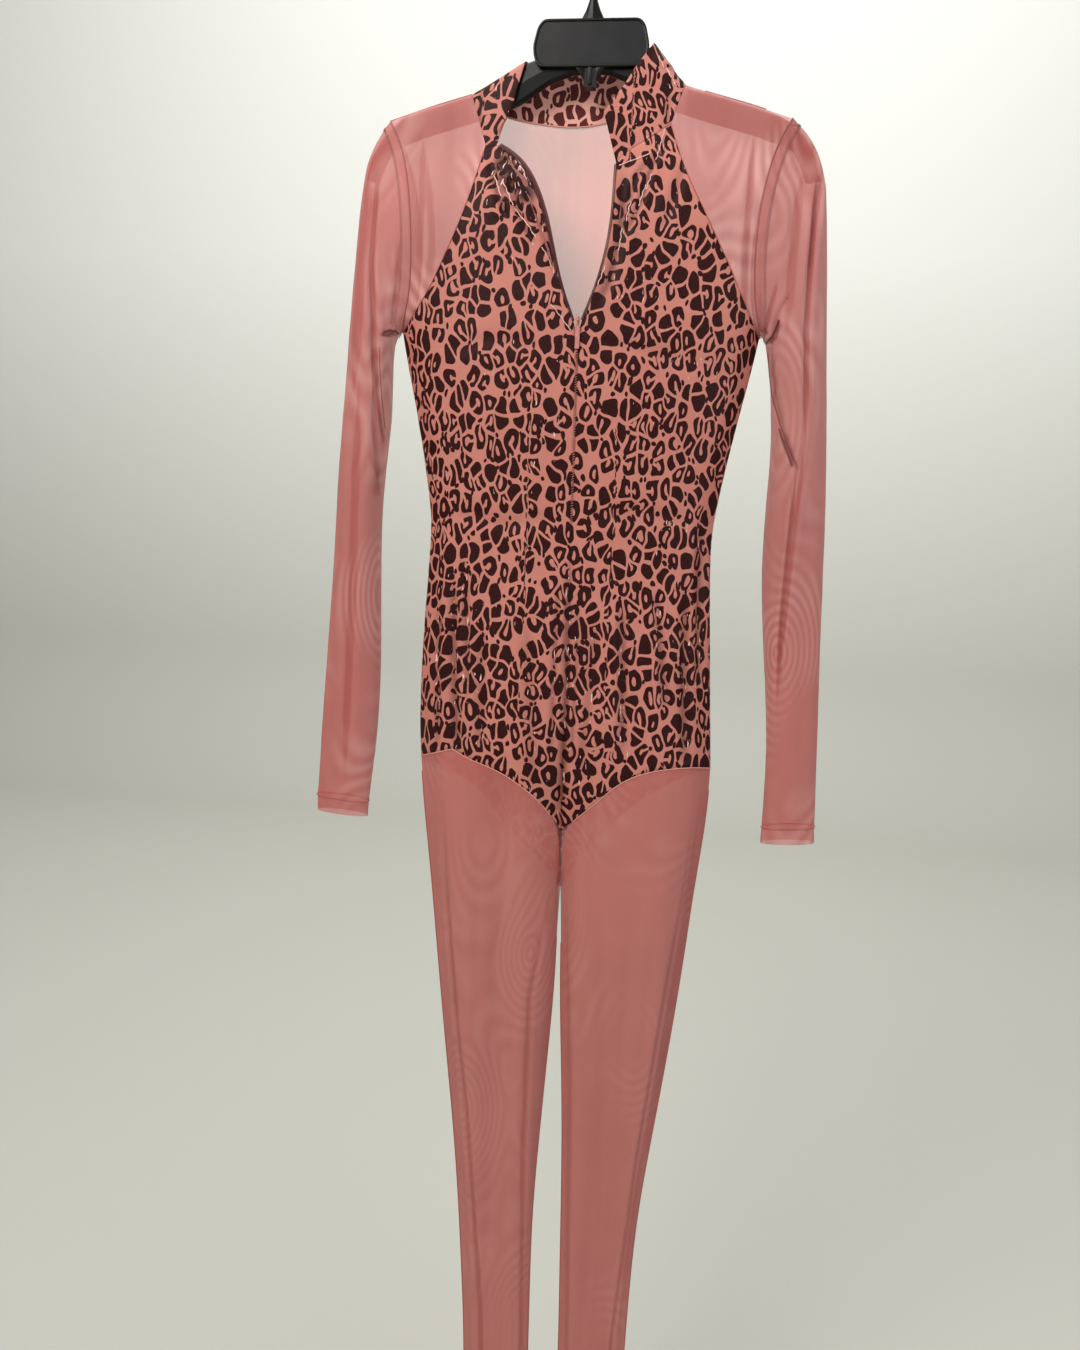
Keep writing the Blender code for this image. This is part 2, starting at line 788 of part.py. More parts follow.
def add_object(name, points, faces, material, origin=(0, 0, 0)):
    """One closed mesh from millimetre points, smooth where its faces meet softly."""
    mesh = bpy.data.meshes.new(name)
    places = (np.array(points, dtype=float) - np.array(origin)) * MM
    mesh.from_pydata([tuple(p) for p in places], [], faces)
    mesh.materials.append(material)
    shape = bmesh.new()
    shape.from_mesh(mesh)
    bmesh.ops.triangulate(shape, faces=shape.faces[:], quad_method="SHORT_EDGE")
    bmesh.ops.recalc_face_normals(shape, faces=shape.faces[:])
    shape.to_mesh(mesh)
    shape.free()
    mesh.shade_smooth()
    mesh.set_sharp_from_angle(angle=math.radians(45))
    thing = bpy.data.objects.new(name, mesh)
    thing.location = [value * MM for value in origin]
    bpy.context.scene.collection.objects.link(thing)
    return thing


def tube_faces(rings, count, closed_path=False):
    faces = []
    for r in range(rings - (0 if closed_path else 1)):
        here, there = r * count, (r + 1) % rings * count
        for k in range(count):
            step = (k + 1) % count
            faces.append((here + k, here + step, there + step, there + k))
    if not closed_path:
        faces.append(tuple(range(count))[::-1])
        faces.append(tuple((rings - 1) * count + k for k in range(count)))
    return faces


def add_tube(name, rings, material, origin=(0, 0, 0), closed_path=False):
    """A solid through closed rings of points, capped at both ends unless its path is closed."""
    points = [p for ring in rings for p in ring]
    return add_object(name, points, tube_faces(len(rings), len(rings[0]), closed_path), material, origin)


def add_prism(name, outline, across, low, high, material, origin=(0, 0, 0)):
    """A flat outline of pairs, given thickness along the axis numbered across."""
    others = [k for k in range(3) if k != across]
    rings = []
    for value in (low, high):
        ring = []
        for first, second in outline:
            place = [0.0, 0.0, 0.0]
            place[others[0]], place[others[1]], place[across] = first, second, value
            ring.append(place)
        rings.append(ring)
    return add_tube(name, rings, material, origin)


def join(base, pieces):
    """Unites moulded pieces with their base by live booleans."""
    for piece in pieces:
        piece.hide_render = True
        piece.display_type = "WIRE"
        union = base.modifiers.new("moulded with " + piece.name, "BOOLEAN")
        union.operation = "UNION"
        union.solver = "EXACT"
        union.object = piece


# Zip


def zip_lines(side, grid):
    """Front edge, neighbouring column and both normals of the front panel, row by row."""
    edge, beside = grid[:, 0], grid[:, 1]
    rows = []
    for k, (start, next_point) in enumerate(zip(edge, beside)):
        above, below = edge[max(k - 1, 0)], edge[min(k + 1, len(edge) - 1)]
        over = (next_point - start) / np.linalg.norm(next_point - start)
        normal = np.cross(over, below - above) * SIDES[side] * -1
        normal = normal / np.linalg.norm(normal)
        rows.append((start, over, normal if normal[1] < 0 else -normal))
    return rows


def zip_rows(grid):
    """The rows of the front panel from its neck down to the end of the zip."""
    return [k for k in range(len(grid)) if grid[k, 0, 2] > ZIP_END - 1]


def zip_tape(side, grid, material):
    """A flat tape behind the open and the closed part of the zip."""
    rings = []
    lines = zip_lines(side, grid)
    for k in zip_rows(grid)[1:]:
        start, over, normal = lines[k]
        near = WALL + SEAM_GAP
        far = near + TAPE_WALL
        ring = [(TAPE_IN, near), (TAPE_OUT, near), (TAPE_OUT, far), (TAPE_IN, far)]
        rings.append([start + a * over - b * normal for a, b in ring])
    return add_tube("zip_tape_" + side, rings, material)


def zip_chain(grid, material):
    rings = []
    lines = zip_lines("right", grid)
    for k in zip_rows(grid):
        if grid[k, 0, 2] < UNDERARM + 1:
            start, _, _ = lines[k]
            near = start[1] + WALL + SEAM_GAP + CHAIN_SET_BACK
            far = near + TAPE_WALL
            ring = [(-CHAIN_HALF, near), (CHAIN_HALF, near), (CHAIN_HALF, far), (-CHAIN_HALF, far)]
            z = min(start[2], UNDERARM - 0.5)
            rings.append([(start[0] + a, b, z) for a, b in ring])
    return add_tube("zip_chain", rings, material)


def zip_hardware(grid, material):
    """Slider inside the foot of the opening, its bail through the notch, and the hanging pull."""
    start = grid[RAGLAN_ROWS, 0]
    x, front = start[0], start[1]
    face = front - BAIL_STEP
    inside = front + WALL + SEAM_GAP + SLIDER_DEPTH
    bail_front, bail_foot = face - BAIL_HOLE - BAIL_WALL, SLIDER_TOP - 2 * BAIL_WALL - BAIL_HOLE
    body = [
        (inside, SLIDER_BOTTOM),
        (inside, SLIDER_TOP),
        (bail_front, SLIDER_TOP),
        (bail_front, bail_foot),
        (front + WALL + SEAM_GAP, bail_foot),
        (front + WALL + SEAM_GAP, SLIDER_BOTTOM),
    ]
    bail = BAIL_WIDTH / 2
    slider = add_prism("zip_slider", body, 0, x - bail, x + bail, material)
    top, hole = SLIDER_TOP - BAIL_WALL, BAIL_HOLE
    eye = [(face, top), (face, top - hole), (face - hole, top - hole), (face - hole, top)]
    cutter = add_prism("bail_eye", eye, 0, x - 3 * bail, x + 3 * bail, material)
    cutter.hide_render = True
    cutter.display_type = "WIRE"
    cut = slider.modifiers.new("eye", "BOOLEAN")
    cut.operation = "DIFFERENCE"
    cut.solver = "EXACT"
    cut.object = cutter

    axis = (x, face - hole / 2, top - hole + PULL_AXLE + PULL_REST)
    frame = [
        (-PULL_HALF, PULL_AXLE),
        (PULL_HALF, PULL_AXLE),
        (PULL_HALF, -PULL_LENGTH),
        (-PULL_HALF, -PULL_LENGTH),
    ]
    outline = [(axis[0] + a, axis[2] + b) for a, b in frame]
    flat = PULL_AXLE
    pull = add_prism("zip_pull", outline, 1, axis[1] - flat, axis[1] + flat, material, axis)
    inner = PULL_HALF - PULL_RIM
    window = [(-inner, -PULL_AXLE), (inner, -PULL_AXLE), (inner, -PULL_EYE), (-inner, -PULL_EYE)]
    outline = [(axis[0] + a, axis[2] + b) for a, b in window]
    cutter = add_prism("pull_window", outline, 1, axis[1] - 3, axis[1] + 3, material)
    cutter.hide_render = True
    cutter.display_type = "WIRE"
    cut = pull.modifiers.new("window", "BOOLEAN")
    cut.operation = "DIFFERENCE"
    cut.solver = "EXACT"
    cut.object = cutter


# Hanger


def arm_sections():
    """Upright ovals from the left tip through the middle to the right tip."""
    half = []
    for x, top, bottom in zip(*ARM.values()):
        top = min(top, ridge_height(x) - ARM_SEAT)
        half.append((x, (top + bottom) / 2, (top - bottom) / 2, 0.0))
    for x, z, size, turn in zip(*ARM_TIP.values()):
        half.append((x, z, size, math.radians(turn)))
    mirrored = [(-x, z, size, -turn) for x, z, size, turn in half[:0:-1]]
    rings = []
    for x, z, size, turn in mirrored + half:
        radius = ARM_RADIUS * (1 - TIP_TAPER * smoothstep((abs(x) - TIP_START) / TIP_RUN))
        x += ARM_SIDE_SHIFT * smoothstep((abs(x) - TIP_START) / TIP_RUN)
        ring = []
        for k in range(ROUND):
            angle = 2 * math.pi * k / ROUND
            up = max(size - radius, 0.0)
            high = math.copysign(up, math.sin(angle)) + radius * math.sin(angle)
            high = high if abs(math.sin(angle)) > 1e-6 else 0.0
            deep = radius * math.cos(angle)
            ring.append((x + high * math.sin(turn), deep, z + high * math.cos(turn)))
        rings.append(ring)
    return rings


def mirrored_outline(rows):
    """An outline given by its right half."""
    right = list(zip(rows["x"], rows["z"]))
    return right + [(-x, z) for x, z in right[::-1]]


def hook_sections():
    """Cone and stem, an S bend to the hook's circle, and the hook round to its open end."""
    centre = -HOOK_INNER
    circle = HOOK_INNER + HOOK_RADIUS
    path = [(0.0, z, half) for z, half in zip(CONE["z"], CONE["half"])]
    path += [(x, z, HOOK_RADIUS) for x, z in STEM_BEND]
    for degrees in HOOK_TURN:
        angle = math.radians(degrees)
        path.append((circle * math.cos(angle), centre + circle * math.sin(angle), HOOK_RADIUS))
    rings = []
    for k, (x, z, size) in enumerate(path):
        before, after = path[max(k - 1, 0)], path[min(k + 1, len(path) - 1)]
        run = np.array([after[0] - before[0], after[1] - before[1]])
        run = run / np.linalg.norm(run)
        ring = []
        for step in range(ROUND):
            angle = 2 * math.pi * step / ROUND
            aside = size * math.cos(angle)
            ring.append((x + aside * run[1], min(size, HOOK_RADIUS) * math.sin(angle), z - aside * run[0]))
        rings.append(ring)
    return rings


def add_hanger(material):
    hanger = add_tube("hanger", arm_sections(), material)
    plate = add_prism("plate", mirrored_outline(PLATE), 1, PLATE_FRONT, PLATE_BACK, material)
    tab = add_prism("tab", mirrored_outline(TAB), 1, TAB_FRONT, TAB_BACK, material)
    web = add_prism("web", mirrored_outline(WEB), 1, PLATE_BACK - 1, WEB_BACK, material)
    hook = add_tube("hook", hook_sections(), material)
    join(hanger, [web, plate, tab, hook])
    return hanger


# Assembly


def add_garment():
    """Every cloth panel, joined first and then made into separate walls."""
    print_knit = finish_material("leopard_knit", (0.45, 0.2, 0.16), 0.42)
    mesh_cloth = finish_material("stretch_mesh", (0.46, 0.15, 0.13), 0.75)
    cloth = Cloth()
    materials = {}
    fronts = {}
    for side in SIDES:
        right = side == "right"
        fronts[side] = front_panel(side)
        cloth.add_grid("front_" + side, fronts[side], right)
        cloth.add_grid("yoke_front_" + side, front_yoke_panel(side), right)
        cloth.add_grid("leg_front_" + side, leg_front_panel(side), right)
        cloth.add_grid("leg_back_" + side, leg_back_panel(side), not right)
        rings = sleeve_sections(side)
        rings = [np.vstack([ring, ring[:1]]) for ring in rings]
        cloth.add_grid("sleeve_" + side, rings[: len(rings) - CUFF_ROWS], not right)
        cloth.add_grid("cuff_" + side, rings[len(rings) - 1 - CUFF_ROWS :], not right)
        materials["front_" + side] = print_knit
    cloth.add_grid("back_yoke", back_yoke_panel(), False)
    cloth.add_grid("back_print", back_print_panel(), False)
    cloth.add_grid("collar", collar_panel(), True)
    materials["back_print"] = print_knit
    materials["collar"] = print_knit
    normals = cloth.normals(cloth.panels)
    for name in cloth.panels:
        points, faces = cloth.wall(name, normals)
        add_object(name, points, faces, materials.get(name, mesh_cloth))
    return fronts


def add_zip(fronts):
    tape_cloth = finish_material("zip_tape", (0.25, 0.1, 0.09), 0.7)
    coil = finish_material("nylon_coil", (0.3, 0.12, 0.1), 0.5)
    metal = finish_material("die_cast_metal", (0.75, 0.55, 0.5), 0.3, 1.0)
    for side in SIDES:
        zip_tape(side, fronts[side], tape_cloth)
    zip_chain(fronts["right"], coil)
    zip_hardware(fronts["right"], metal)


def build():
    for thing in list(bpy.data.objects):
        bpy.data.objects.remove(thing, do_unlink=True)
    fronts = add_garment()
    add_zip(fronts)
    add_hanger(finish_material("black_plastic", (0.012, 0.012, 0.012), 0.4))


build()
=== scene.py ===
"""Looks of a long-sleeved unitard on its plastic top hanger.

The script follows the garment as it is put together: the moulded hanger, the cloth panels with
their folds and the shade painted in them, the print, the sheer mesh with its doubled layers, the
seams, the foil creases with their painted highlights, the zip, and last the studio. Lengths are
in metres, and names that end in MM hold millimetres.
"""

import math
from functools import partial

import bmesh
import bpy
import numpy as np
from mathutils import Matrix, Vector, kdtree, noise
from mathutils.bvhtree import BVHTree


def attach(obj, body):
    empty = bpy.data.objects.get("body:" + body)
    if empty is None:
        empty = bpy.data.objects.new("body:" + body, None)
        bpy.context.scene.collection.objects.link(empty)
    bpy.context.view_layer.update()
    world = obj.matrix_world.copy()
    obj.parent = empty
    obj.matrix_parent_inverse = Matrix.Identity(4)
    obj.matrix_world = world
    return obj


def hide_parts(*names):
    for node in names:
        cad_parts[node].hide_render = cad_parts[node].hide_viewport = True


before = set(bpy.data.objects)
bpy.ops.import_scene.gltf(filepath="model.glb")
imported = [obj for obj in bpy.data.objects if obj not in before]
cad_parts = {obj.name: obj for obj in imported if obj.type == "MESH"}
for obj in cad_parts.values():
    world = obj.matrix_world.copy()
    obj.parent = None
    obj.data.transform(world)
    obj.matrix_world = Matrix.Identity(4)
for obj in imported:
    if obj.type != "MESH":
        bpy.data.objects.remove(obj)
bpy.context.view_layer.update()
MM = 0.001


# Hanger
# A black polystyrene top hanger, moulded in one: curved arms, a front plate with a raised rim round
# a satin face, and a notched tab below it. The arms and the hook are the CAD solid. The plate's
# relief, the tab's bar and lugs and the small ring on the right arm are set on it.


def linear(code):
    """An sRGB hex colour as linear red, green, blue and alpha."""
    channels = [int(code[k : k + 2], 16) / 255 for k in (1, 3, 5)]
    return (*[c / 12.92 if c <= 0.04045 else ((c + 0.055) / 1.055) ** 2.4 for c in channels], 1.0)


def link(material, source, target):
    """Links a node's first output, or one of its output sockets, to an input socket."""
    source = source.outputs[0] if hasattr(source, "outputs") else source
    material.node_tree.links.new(source, target)


def add_node(material, kind, links=(), **settings):
    """Adds a shader node. Settings are its properties, and links fill its inputs.

    Links are a list in the order of the inputs, or a dict by their names. Each is a node, an output
    socket or a plain value.
    """
    node = material.node_tree.nodes.new("ShaderNode" + kind)
    for name, value in settings.items():
        setattr(node, name, value)
    for name, source in links.items() if isinstance(links, dict) else enumerate(links):
        if hasattr(source, "outputs") or hasattr(source, "is_output"):
            link(material, source, node.inputs[name])
        else:
            node.inputs[name].default_value = source
    return node


def new_material(name, roughness, **sockets):
    """A material with its Principled shader, and constants set on the shader's own sockets."""
    material = bpy.data.materials.new(name)
    material.use_nodes = True
    shader = material.node_tree.nodes["Principled BSDF"]
    shader.inputs["Roughness"].default_value = roughness
    for socket, value in sockets.items():
        shader.inputs[socket.replace("_", " ")].default_value = value
    return material, shader


def moulded_plastic(name, dark, light, roughness):
    """Injection-moulded polystyrene: satin black, a fine spark-eroded grain, faint flow marks."""
    material, shader = new_material(name, roughness, IOR=1.59, Specular_IOR_Level=0.16)
    add = partial(add_node, material)
    place = add("TexCoord").outputs["Object"]
    flow = add("TexNoise", {"Vector": place, "Scale": FLOW_MARKS_PER_M, "Detail": 3.0})
    tone = add("ValToRGB", {"Fac": flow})
    for stop, position, colour in zip(tone.color_ramp.elements, (0.35, 0.7), (dark, light)):
        stop.position, stop.color = position, linear(colour)
    grain = add("TexNoise", {"Vector": place, "Scale": GRAINS_PER_M, "Detail": 2.0})
    bump = add("Bump", {"Height": grain, "Strength": 0.12, "Distance": 0.2 * MM})
    link(material, tone, shader.inputs["Base Color"])
    link(material, bump, shader.inputs["Normal"])
    return material


def dress_node(node, material):
    """Gives a carried-over CAD node its own finish."""
    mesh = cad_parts[node].data
    mesh.materials.clear()
    mesh.materials.append(material)
    mesh.polygons.foreach_set("material_index", [0] * len(mesh.polygons))


def choose(thing):
    """Makes one piece the only one that the next operators act on."""
    bpy.ops.object.select_all(action="DESELECT")
    thing.select_set(True)
    bpy.context.view_layer.objects.active = thing


FLOW_MARKS_PER_M = 45.0
GRAINS_PER_M = 2200.0
black_satin = moulded_plastic("moulded_black_polystyrene", "#0E0E0F", "#171718", 0.3)
plate_face = moulded_plastic("spark_eroded_plate_face", "#18181A", "#202022", 0.4)
dress_node("hanger", black_satin)

PLATE_FRONT = -8.5 * MM
PLATE_RIGHT_MM = [(42.5, -72.6), (47.9, -78.6), (51.8, -95), (50.6, -105.4), (45.6, -112.9)]
PLATE_CORNER_MM = 4.0
PLATE_SUNK_IN = 0.3 * MM
RIM_WIDTH = 2.2 * MM
RIM_RISE = 1.3 * MM
FACE_DEPTH = 0.9 * MM
FACE_SLOPE = 0.5 * MM
TAB_BACK, TAB_BAR_FRONT, LUG_FRONT = -7.7 * MM, -9.2 * MM, -8.9 * MM
TAB_BAR_MM = [(2.1, -111.5), (1.7, -127.5), (-1.7, -127.5), (-2.1, -111.5)]
LUG_MM = [(5.0, -112), (13.5, -112.5), (8.2, -119), (5.4, -122)]
RING_MIDDLE_MM = (196, -3.5, -180)


def rounded(points, radius, steps=5):
    """A closed outline with its corners turned into short curves."""
    result = []
    for k, corner in enumerate(points):
        corner = np.array(corner, dtype=float)
        before, after = np.array(points[k - 1]), np.array(points[(k + 1) % len(points)])
        start = corner + (before - corner) * min(0.45, radius / np.linalg.norm(before - corner))
        end = corner + (after - corner) * min(0.45, radius / np.linalg.norm(after - corner))
        for t in np.linspace(0, 1, steps):
            result.append((1 - t) ** 2 * start + 2 * t * (1 - t) * corner + t**2 * end)
    return result


def face_piece(name, outline, y_back, y_front, material):
    """A flat moulded face drawn by its outline in x and z, extruded towards the viewer."""
    shape = bmesh.new()
    ring = [shape.verts.new((x * MM, y_back, z * MM)) for x, z in outline]
    face = shape.faces.new(ring)
    mesh = bpy.data.meshes.new(name)
    shape.normal_update()
    if face.normal.y > 0:
        face.normal_flip()
    shape.to_mesh(mesh)
    shape.free()
    thing = bpy.data.objects.new(name, mesh)
    bpy.context.scene.collection.objects.link(thing)
    choose(thing)
    bpy.ops.object.mode_set(mode="EDIT")
    bpy.ops.mesh.select_all(action="SELECT")
    bpy.ops.mesh.extrude_region_move(TRANSFORM_OT_translate={"value": (0, y_front - y_back, 0)})
    bpy.ops.object.mode_set(mode="OBJECT")
    mesh.materials.append(material)
    return thing


def close_and_smooth(thing, bevel=0.0004, angle=35):
    """Outward faces, a small moulded radius on the edges, and smooth shading between them."""
    choose(thing)
    bpy.ops.object.mode_set(mode="EDIT")
    bpy.ops.mesh.select_all(action="SELECT")
    bpy.ops.mesh.normals_make_consistent(inside=False)
    bpy.ops.object.mode_set(mode="OBJECT")
    rounding = thing.modifiers.new("rounding", "BEVEL")
    rounding.width = bevel
    rounding.segments = 2
    rounding.limit_method = "ANGLE"
    rounding.angle_limit = math.radians(30)
    bpy.ops.object.modifier_apply(modifier=rounding.name)
    bpy.ops.object.shade_smooth_by_angle(angle=math.radians(angle))


plate_line = rounded(PLATE_RIGHT_MM + [(-x, z) for x, z in PLATE_RIGHT_MM[::-1]], PLATE_CORNER_MM)
plate = face_piece(
    "hanger_plate", plate_line, PLATE_FRONT + PLATE_SUNK_IN, PLATE_FRONT - RIM_RISE, black_satin
)
plate.data.materials.append(plate_face)
bpy.ops.object.mode_set(mode="EDIT")
bpy.ops.mesh.select_mode(type="FACE")
bpy.ops.mesh.select_all(action="DESELECT")
bpy.ops.object.mode_set(mode="OBJECT")
front_face = min(plate.data.polygons, key=lambda p: p.center.y - (1 if len(p.vertices) > 8 else 0))
front_face.select = True
bpy.ops.object.mode_set(mode="EDIT")
bpy.ops.mesh.inset(thickness=RIM_WIDTH)
bpy.ops.mesh.extrude_region_move(TRANSFORM_OT_translate={"value": (0, FACE_DEPTH, 0)})
bpy.ops.mesh.inset(thickness=FACE_SLOPE)
bpy.ops.object.mode_set(mode="OBJECT")
for polygon in plate.data.polygons:
    polygon.material_index = 1 if polygon.select else 0
close_and_smooth(plate)
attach(plate, "garment")

bar_line = rounded(TAB_BAR_MM, 1.0, 3)
tab_bar = face_piece("hanger_tab_bar", bar_line, TAB_BACK, TAB_BAR_FRONT, plate_face)
close_and_smooth(tab_bar)
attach(tab_bar, "garment")
for side, sign in (("left", -1), ("right", 1)):
    lug_line = rounded([(sign * x, z) for x, z in LUG_MM], 1.0, 3)
    lug = face_piece("hanger_lug_" + side, lug_line, TAB_BACK, LUG_FRONT, black_satin)
    close_and_smooth(lug)
    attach(lug, "garment")
# a small ring is moulded on the end of the right arm, and shows through the sleeve
bpy.ops.object.select_all(action="DESELECT")
bpy.ops.mesh.primitive_torus_add(
    major_radius=3.2 * MM,
    minor_radius=0.5 * MM,
    major_segments=32,
    minor_segments=8,
    location=Vector(RING_MIDDLE_MM) * MM,
    rotation=(math.pi / 2, 0, 0),
)
ring = bpy.context.view_layer.objects.active
ring.name = "hanger_arm_ring"
bpy.ops.object.transform_apply(location=True, rotation=True, scale=True)
bpy.ops.object.shade_smooth()
ring.data.materials.append(black_satin)
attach(ring, "garment")


# Cloth panels
# Two cloths: a foiled knit printed with leopard spots for body and collar, and a sheer power mesh
# for yokes, sleeves and legs. Each panel is the outer face of its CAD wall, sewn to its neighbours
# along the shared seam and smoothed, so that left and right, front and back join without a gap.

WALL_MM = 1.2  # the CAD's wall: an edge of this length belongs to its rim
KNIT = {"front_left": "front", "front_right": "front", "back_print": "back", "collar": "round"}
MESH = {
    "yoke_front_left": "front",
    "yoke_front_right": "front",
    "back_yoke": "back",
    "sleeve_left": "round",
    "sleeve_right": "round",
    "cuff_left": "round",
    "cuff_right": "round",
    "leg_front_left": "front",
    "leg_front_right": "front",
    "leg_back_left": "back",
    "leg_back_right": "back",
}


def outer_face(node, facing):
    """A panel of cloth from a CAD wall: a merged copy without its rim and its inner face."""
    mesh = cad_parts[node].data.copy()
    mesh.materials.clear()
    shape = bmesh.new()
    shape.from_mesh(mesh)
    bmesh.ops.remove_doubles(shape, verts=shape.verts, dist=0.02 * MM)
    short = [e for e in shape.edges if abs(e.calc_length() / MM - WALL_MM) < 0.03]
    rim = {f for e in short for f in e.link_faces}
    bmesh.ops.delete(shape, geom=list(rim), context="FACES")
    groups, seen = [], set()
    for start in shape.faces:
        if start in seen:
            continue
        group, waiting = [], [start]
        seen.add(start)
        while waiting:
            face = waiting.pop()
            group.append(face)
            for other in {g for e in face.edges for g in e.link_faces} - seen:
                seen.add(other)
                waiting.append(other)
        groups.append(group)
    groups = sorted(groups, key=lambda g: -sum(f.calc_area() for f in g))[:2]
    if facing == "round":
        keep = groups[0]
    else:
        sign = -1 if facing == "front" else 1
        keep = max(groups, key=lambda g: sign * np.mean([f.calc_center_median().y for f in g]))
    keep = set(keep)
    bmesh.ops.delete(shape, geom=[f for f in shape.faces if f not in keep], context="FACES")
    bmesh.ops.delete(shape, geom=[v for v in shape.verts if not v.link_faces], context="VERTS")
    bmesh.ops.join_triangles(
        shape,
        faces=shape.faces[:],
        angle_face_threshold=math.radians(70),
        angle_shape_threshold=math.radians(70),
    )
    shape.to_mesh(mesh)
    shape.free()
    cloth = bpy.data.objects.new(node + "_cloth", mesh)
    bpy.context.scene.collection.objects.link(cloth)
    return cloth


def border_corners(mesh):
    """Border vertices of a panel, and those of them where its outline turns a corner."""
    shape = bmesh.new()
    shape.from_mesh(mesh)
    border, corners = [], []
    for v in shape.verts:
        edges = [e for e in v.link_edges if e.is_boundary]
        if len(edges) == 2:
            border.append(v.index)
            one, two = [(e.other_vert(v).co - v.co).normalized() for e in edges]
            if one.dot(two) > -0.8:
                corners.append(v.index)
    shape.free()
    return border, corners


def sew(cloths, reach=0.9 * MM, corner_reach=4.5 * MM):
    """Brings the border points of neighbouring panels together, and returns the panels' corners."""
    points, owners, is_corner = [], [], []
    for cloth in cloths:
        border, corners = border_corners(cloth.data)
        for v in border:
            points.append(np.array(cloth.data.vertices[v].co))
            owners.append((cloth, v))
            is_corner.append(v in corners)
    points = np.array(points)
    joined = points.copy()
    for k, point in enumerate(points):
        near = np.linalg.norm(points - point, axis=1)
        limit = corner_reach if is_corner[k] else reach
        group = near < limit
        if is_corner[k]:
            group &= np.array(is_corner) | (near < reach)
        joined[k] = points[group].mean(axis=0)
    for _ in range(3):
        before = joined.copy()
        for k, point in enumerate(before):
            joined[k] = before[np.linalg.norm(before - point, axis=1) < reach].mean(axis=0)
    for (cloth, v), place in zip(owners, joined):
        cloth.data.vertices[v].co = place
    return [joined[k] for k in range(len(joined)) if is_corner[k]]


def smooth_panel(cloth, junctions, levels):
    """Subdivides a panel. Its outline stays sharp only where another panel's corner meets it."""
    shape = bmesh.new()
    shape.from_mesh(cloth.data)
    sharp = shape.verts.layers.float.new("crease_vert")
    for v in shape.verts:
        if v.is_boundary and any((v.co - Vector(j)).length < 1.0 * MM for j in junctions):
            v[sharp] = 1.0
    shape.to_mesh(cloth.data)
    shape.free()
    choose(cloth)
    smoothing = cloth.modifiers.new("smoothing", "SUBSURF")
    smoothing.levels = smoothing.render_levels = levels
    smoothing.boundary_smooth = "PRESERVE_CORNERS"
    bpy.ops.object.modifier_apply(modifier=smoothing.name)
    cloth.data.shade_smooth()


panels = {node: outer_face(node, facing) for node, facing in {**KNIT, **MESH}.items()}
junctions = sew(list(panels.values()))
for node, cloth in panels.items():
    smooth_panel(cloth, junctions, 3)
